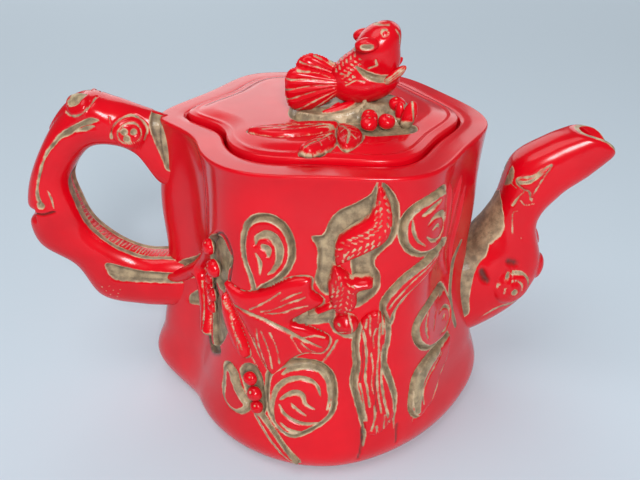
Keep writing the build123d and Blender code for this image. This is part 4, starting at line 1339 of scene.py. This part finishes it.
# ---------------------------------------------------------------- vine and leaves on the lid
def work_mound(clay):
    inside = clay.area(MOUND)
    hump = np.clip(inside / 6.0, 0, 1)
    clay.height = 3.7 * (1 - (1 - hump) ** 2) ** 0.6 * (0.3 + 0.7 * smooth((clay.u + 1) / 11))
    clay.tan(np.full(inside.shape, 1.5))
    vine = clay.stroke(((-6.4, -8.6, 0.5), (-1, -11, 0.75), (5, -11.7, 0.8), (9.6, -10.8, 0.8),
                        (12, -8.6, 0.7), (11.6, -6, 0.6), (8, -4.4, 0.4)))
    clay.swell(vine, 1.1, 0.9)
    clay.patina = np.where(vine > 0.1, 0.22, clay.patina)
    clay.swell(clay.stroke(((12, -8, 0.5), (16, -9.6, 0.7), (20, -8, 0.6), (22, -4, 0.4))), 0.8, 0.7)
    clay.swell(clay.stroke(((-5, -3, 0.5), (0, -6, 0.8), (5, -7, 0.6))), 0.7, 0.8)
    red = clay.stroke(((1, -8.4, 0.5), (4, -8.2, 1.3), (7.6, -7.6, 1.4), (9.6, -6, 0.5)))
    clay.swell(red, 0.8, 1.2)
    clay.bare(red)
    for dent in ((14.6, -5, 1.6), (2, -1, 1.8), (20, 0, 1.7), (9, 2.6, 1.7), (18, -11, 1.2)):
        hollow = clay.disc(*dent)
        clay.height -= 0.8 * smooth(hollow / 1.4)
        # painted shade in the dent
        clay.paint_shade(0.6 * smooth(hollow / 1.2))
    return inside


def leaf_work(outline, midrib, veins, height=1.3):
    """A leaf on the lid with one midrib and side veins."""

    def work(clay):
        inside = clay.area(outline)
        clay.height = 0.15 + 0 * inside
        clay.swell(inside, height, 2.4)
        clay.tan(-0.05 - inside)
        clay.scratch(midrib, 0.3, 0.6)
        for vein in veins:
            clay.scratch(vein, 0.15, 0.4)
        return inside

    return work


def make_lid_vine():
    relief("vine_mound", [(MOUND, work_mound)], on_lid, "lid", rooted=0.9)
    for name, outline, midrib, veins in LID_LEAVES:
        relief(name, [(outline, leaf_work(outline, midrib, veins))], on_lid, "lid", rooted=0.9)


make_lid_vine()

# ---------------------------------------------------------------- goldfish
FISH_Y = -4.0
BELLY = ((12.5, FISH_Y, 103.0), (9.5, 5.6, 5.6), 12)
HUMP = ((8.8, FISH_Y, 106.6), (6.4, 4.6, 4.4), 38)
SKULL = ((15.2, FISH_Y, 112.2), (7.0, 5.9, 5.8), 62)
SNOUT = ((17.6, FISH_Y, 115.8), (3.8, 4.2, 3.2), 25)
CHIN = ((17.0, FISH_Y, 109.4), (4.6, 5.0, 4.6), 10)


def egg_level(points, centre, half_sizes, lean):
    """Roughly how far points lie outside an ellipsoid whose long axis leans up from +X."""
    turn = math.radians(lean)
    offset = points - np.array(centre)
    along = offset[..., 0] * math.cos(turn) + offset[..., 2] * math.sin(turn)
    across = -offset[..., 0] * math.sin(turn) + offset[..., 2] * math.cos(turn)
    scaled = np.stack([along / half_sizes[0], offset[..., 1] / half_sizes[1], across / half_sizes[2]], -1)
    return (np.linalg.norm(scaled, axis=-1) - 1) * min(half_sizes)


def moulded(centre, eggs, blend, subdivisions=6, farthest=24.0):
    """A smooth union of eggs seen from one centre: points, faces and outward directions."""
    directions, faces = ball(subdivisions)
    centre = np.array(centre)
    low, high = np.zeros(len(directions)), np.full(len(directions), farthest)
    for _ in range(26):
        middle = (low + high) / 2
        points = centre + directions * middle[:, None]
        levels = np.stack([egg_level(points, *egg) for egg in eggs])
        level = -blend * np.log(np.exp(-levels / blend).sum(0))
        low, high = np.where(level < 0, middle, low), np.where(level < 0, high, middle)
    return centre + directions * low[:, None], faces, directions


def surface_normals(points, faces):
    """Area-weighted normals at the points."""
    a, b, c = (points[faces[:, k]] for k in range(3))
    flat = np.cross(b - a, c - a)
    normals = np.zeros(points.shape)
    for k in range(3):
        np.add.at(normals, faces[:, k], flat)
    return normals / np.linalg.norm(normals, axis=1, keepdims=True)


def side_clay(points, normals, side):
    """Clay on one flank of a piece that faces along Y, in x and z."""
    shown = normals[:, 1] * side > -0.05
    return Clay(np.where(shown, points[:, 0], AWAY), points[:, 2].copy())


def work_fish_side(clay):
    clay.scratch(((9.6, 116.2), (11, 117.6), (13.4, 118.8), (18, 119)), 0.2, 0.4)
    clay.scratch(((14.6, 110.6), (14.8, 109.2), (12.8, 108.2)), 0.25, 0.5)
    clay.cut(clay.line(oval(16.8, 117.3, 0.95, 0.8), 0.2, closed=True), 0.4)
    clay.scratch(((19.8, 118), (21, 116.2), (21.2, 114)), 0.2, 0.4)
    neck = clay.stroke(((9.6, 108.6, 0.4), (12, 106.8, 0.9), (15.4, 105.6, 1.1), (19, 105.6, 0.9),
                        (21.4, 107.4, 0.4)))
    clay.height -= 0.7 * smooth(neck / 1.0)
    clay.tan(neck)
    clay.ticks(((4, 106.4), (7, 109.4), (10, 111.6)), (-2.2, -1.1, 0.0, 1.1), 1.3, 0.6, 0.24, 0.9)
    clay.ticks(((6, 104.6), (8.6, 106.6)), (-0.6, 0.6), 1.3, 0.6, 0.22, 0.9)
    clay.scratch(((7, 103.6), (9.6, 105), (12, 104.8)), 0.15, 0.2)


def make_fish_body():
    points, faces, _ = moulded((12.6, FISH_Y, 107.0), (BELLY, HUMP, SKULL, SNOUT, CHIN), 0.7)
    normals = surface_normals(points, faces)
    clays = [side_clay(points, normals, side) for side in (-1, 1)]
    for clay in clays:
        work_fish_side(clay)
    height = sum(clay.height for clay in clays)
    patina = np.maximum.reduce([clay.patina for clay in clays])
    painted_shade = np.maximum.reduce([clay.painted_shade for clay in clays])
    add_piece("fish_body", points + normals * height[:, None], faces, patina, painted_shade, "lid", slot="fish_gloss")


def make_fish_pairs():
    """Bulging eyes with a ring round a flat centre, and gill fins, one each side."""
    for name, centre, sizes, lean, offset in (("fish_eyes", (12.2, 114.4), (3.2, 2.0, 2.0), 2, 5.2),
                                              ("fish_fins", (20.0, 106.2), (3.8, 1.5, 1.3), 40, 4.2)):
        lumps = []
        for side in (-1, 1):
            middle = (centre[0], FISH_Y + side * offset, centre[1])
            points, faces, directions = moulded(middle, ((middle, sizes, lean),), 0.05, 5, 8.0)
            outward = directions[:, 1] * side
            clay = Clay(np.where(outward > 0.05, points[:, 0], AWAY), points[:, 2].copy())
            if name == "fish_eyes":
                clay.cut(clay.area(oval(centre[0], centre[1] - 0.1, 1.9, 0.95)), 0.5, 0.5)
            else:
                for shift in (-0.7, 0.0, 0.7):
                    clay.scratch(((17.4, 104.2 + shift), (20, 106.4 + shift), (22.6, 108.4 + shift)), 0.16,
                                 0.3)
            normals = surface_normals(points, faces)
            patina = np.maximum(clay.patina, 2.5 * (-0.8 - outward))
            lumps.append((points + normals * clay.height[:, None], faces, patina, clay.painted_shade))
        add_piece(name, *joined(lumps), "lid", slot="fish_gloss")


TAIL_ROOT = (8.4, 103.8)
NEAR_LOBE = ((8.4, 105.4), (2.5, 105.8), (-2.5, 107), (-6.4, 107.4), (-8.7, 106), (-9.4, 103), (-9.2, 99.6),
             (-8, 96.4),
             (-4.4, 95.6), (0, 96.8), (4.4, 99.8), (8.4, 102.4))
FAR_LOBE = ((8.6, 106.4), (4, 107.8), (0.4, 109.6), (-2.8, 110.2), (-5.2, 109.2), (-6.4, 107.2), (-6, 105),
            (-2, 103.6), (8, 103))


def lobe_work(outline, rays, height):
    """One lobe of the tail: swollen between grooves that spread from its root."""

    def work(clay):
        inside = clay.area(outline)
        clay.swell(inside, height, 2.6)
        ripple = np.arctan2(clay.z - TAIL_ROOT[1], TAIL_ROOT[0] - clay.u)
        clay.height += 0.12 * np.cos(ripple * 38) * smooth(inside / 1.0)
        for start, end_u, end_z, bow in rays:
            u, z = TAIL_ROOT
            first = (u + (end_u - u) * start, z + (end_z - z) * start, 0.02)
            middle = (u + (end_u - u) * 0.6, z + (end_z - z) * 0.6 + bow, 0.1)
            clay.groove((first, middle, (end_u, end_z, 0.24)), 0.8, 0.7)
        return inside

    return work


def make_fish_tail():
    """Two upright lobes, each worked alike in front and behind."""
    near_rays = ((0.3, -9, 104.6, 0.5), (0.2, -9.6, 101.6, 0.5), (0.15, -9.4, 98.8, 0.4),
                 (0.2, -6.4, 96, 0.2), (0.3, -1.6, 96.4, 0.0), (0.4, -6, 107, 0.4))
    far_rays = ((0.3, -5.4, 108.4, 0.4), (0.3, -1.6, 110, 0.5), (0.35, 2.6, 108.6, 0.3))
    lumps = []
    for outline, rays, y, swell in ((NEAR_LOBE, near_rays, FISH_Y - 1.6, 1.8),
                                    (FAR_LOBE, far_rays, FISH_Y + 1.6, 1.6)):
        clay, shape = clay_grid(outline, 0.25)
        inside = lobe_work(outline, rays, swell)(clay)
        height = clay.height * smooth((inside + 0.3) / 0.6) + 0.05
        front, back = (upright(y, side)(clay.u, clay.z, height) for side in (-1, 1))
        points, faces, kept = sheet_mesh((inside > -0.4).reshape(shape), front, back)
        lumps.append((points, faces, np.tile(clay.patina[kept], 2), np.tile(clay.painted_shade[kept], 2)))
    add_piece("fish_tail", *joined(lumps), "lid", slot="fish_gloss")


def make_lid_bud():
    """A vine bud in two blades, with cream ribs."""
    blades = (((23.6, -15.2, 97.4), (4.2, 1.7, 1.9), 74), ((21.8, -12.6, 97.0), (3.4, 1.5, 1.6), 98))
    lumps = []
    for blade in blades:
        points, faces, directions = moulded(blade[0], (blade,), 0.05, 5, 9.0)
        x = points[:, 0] - blade[0][0]
        rib = 0.28 - np.abs(x + 0.12 * (points[:, 2] - blade[0][2]) - 1.0)
        patina = np.maximum(np.minimum(rib, 0.3), -0.6 - directions[:, 2] * 1.2)
        lumps.append((points, faces, patina, np.zeros(patina.shape)))
    add_piece("lid_bud", *joined(lumps), "lid")


make_fish_body()
make_fish_pairs()
make_fish_tail()
make_lid_bud()


# ---------------------------------------------------------------- floor, light and camera
def make_floor():
    bpy.ops.mesh.primitive_plane_add(size=6, location=(0, 0, 0))
    floor = bpy.context.object
    floor.name = "floor"
    m = Mixer("pale_floor")
    shader = m.add("ShaderNodeBsdfPrincipled")
    shader.inputs["Base Color"].default_value = (0.60, 0.70, 0.78, 1)
    shader.inputs["Roughness"].default_value = 0.85
    out = m.add("ShaderNodeOutputMaterial")
    m.feed(out.inputs["Surface"], shader.outputs["BSDF"])
    floor.data.materials.append(m.material)
    floor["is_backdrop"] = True


def area_light(name, place, aim, size, power, colour=(1, 1, 1)):
    lamp = bpy.data.lights.new(name, "AREA")
    lamp.shape = "DISK"
    lamp.size, lamp.energy, lamp.color = size, power, colour
    lamp_object = bpy.data.objects.new(name, lamp)
    lamp_object.location = place
    lamp_object.rotation_euler = (Vector(aim) - Vector(place)).to_track_quat("-Z", "Y").to_euler()
    bpy.context.scene.collection.objects.link(lamp_object)


def make_studio():
    middle = (0, 0, 0.05)
    area_light("window_behind", (-0.45, 1.25, 0.72), middle, 1.3, 7.0)
    area_light("window_right", (0.75, 1.15, 0.60), middle, 0.9, 3.0)
    area_light("soft_top", (-0.35, -0.25, 1.1), middle, 0.8, 4.0)
    area_light("soft_front", (0.10, -0.80, 0.55), middle, 0.30, 7.0)
    world = bpy.data.worlds.new("room")
    world.use_nodes = True
    world.node_tree.nodes["Background"].inputs["Color"].default_value = (0.86, 0.92, 1.0, 1)
    world.node_tree.nodes["Background"].inputs["Strength"].default_value = 0.16
    bpy.context.scene.world = world
    bpy.context.scene.view_settings.view_transform = "Standard"


CAMERA_PLACE, CAMERA_TILT = (0, -0.180, 0.158), math.radians(59)
CAMERA_LENS, CAMERA_SENSOR = 36.56, 36.0


def make_camera():
    lens = bpy.data.cameras.new("camera")
    lens.lens, lens.sensor_width = CAMERA_LENS, CAMERA_SENSOR
    camera = bpy.data.objects.new("camera", lens)
    camera.location = CAMERA_PLACE
    camera.rotation_euler = (CAMERA_TILT, 0, 0)
    bpy.context.scene.collection.objects.link(camera)
    bpy.context.scene.camera = camera


make_floor()
make_studio()
make_camera()


def corners(box):
    return [list(corner) for corner in box]


{"cad": corners(cad_box), "visual": corners(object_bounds())}
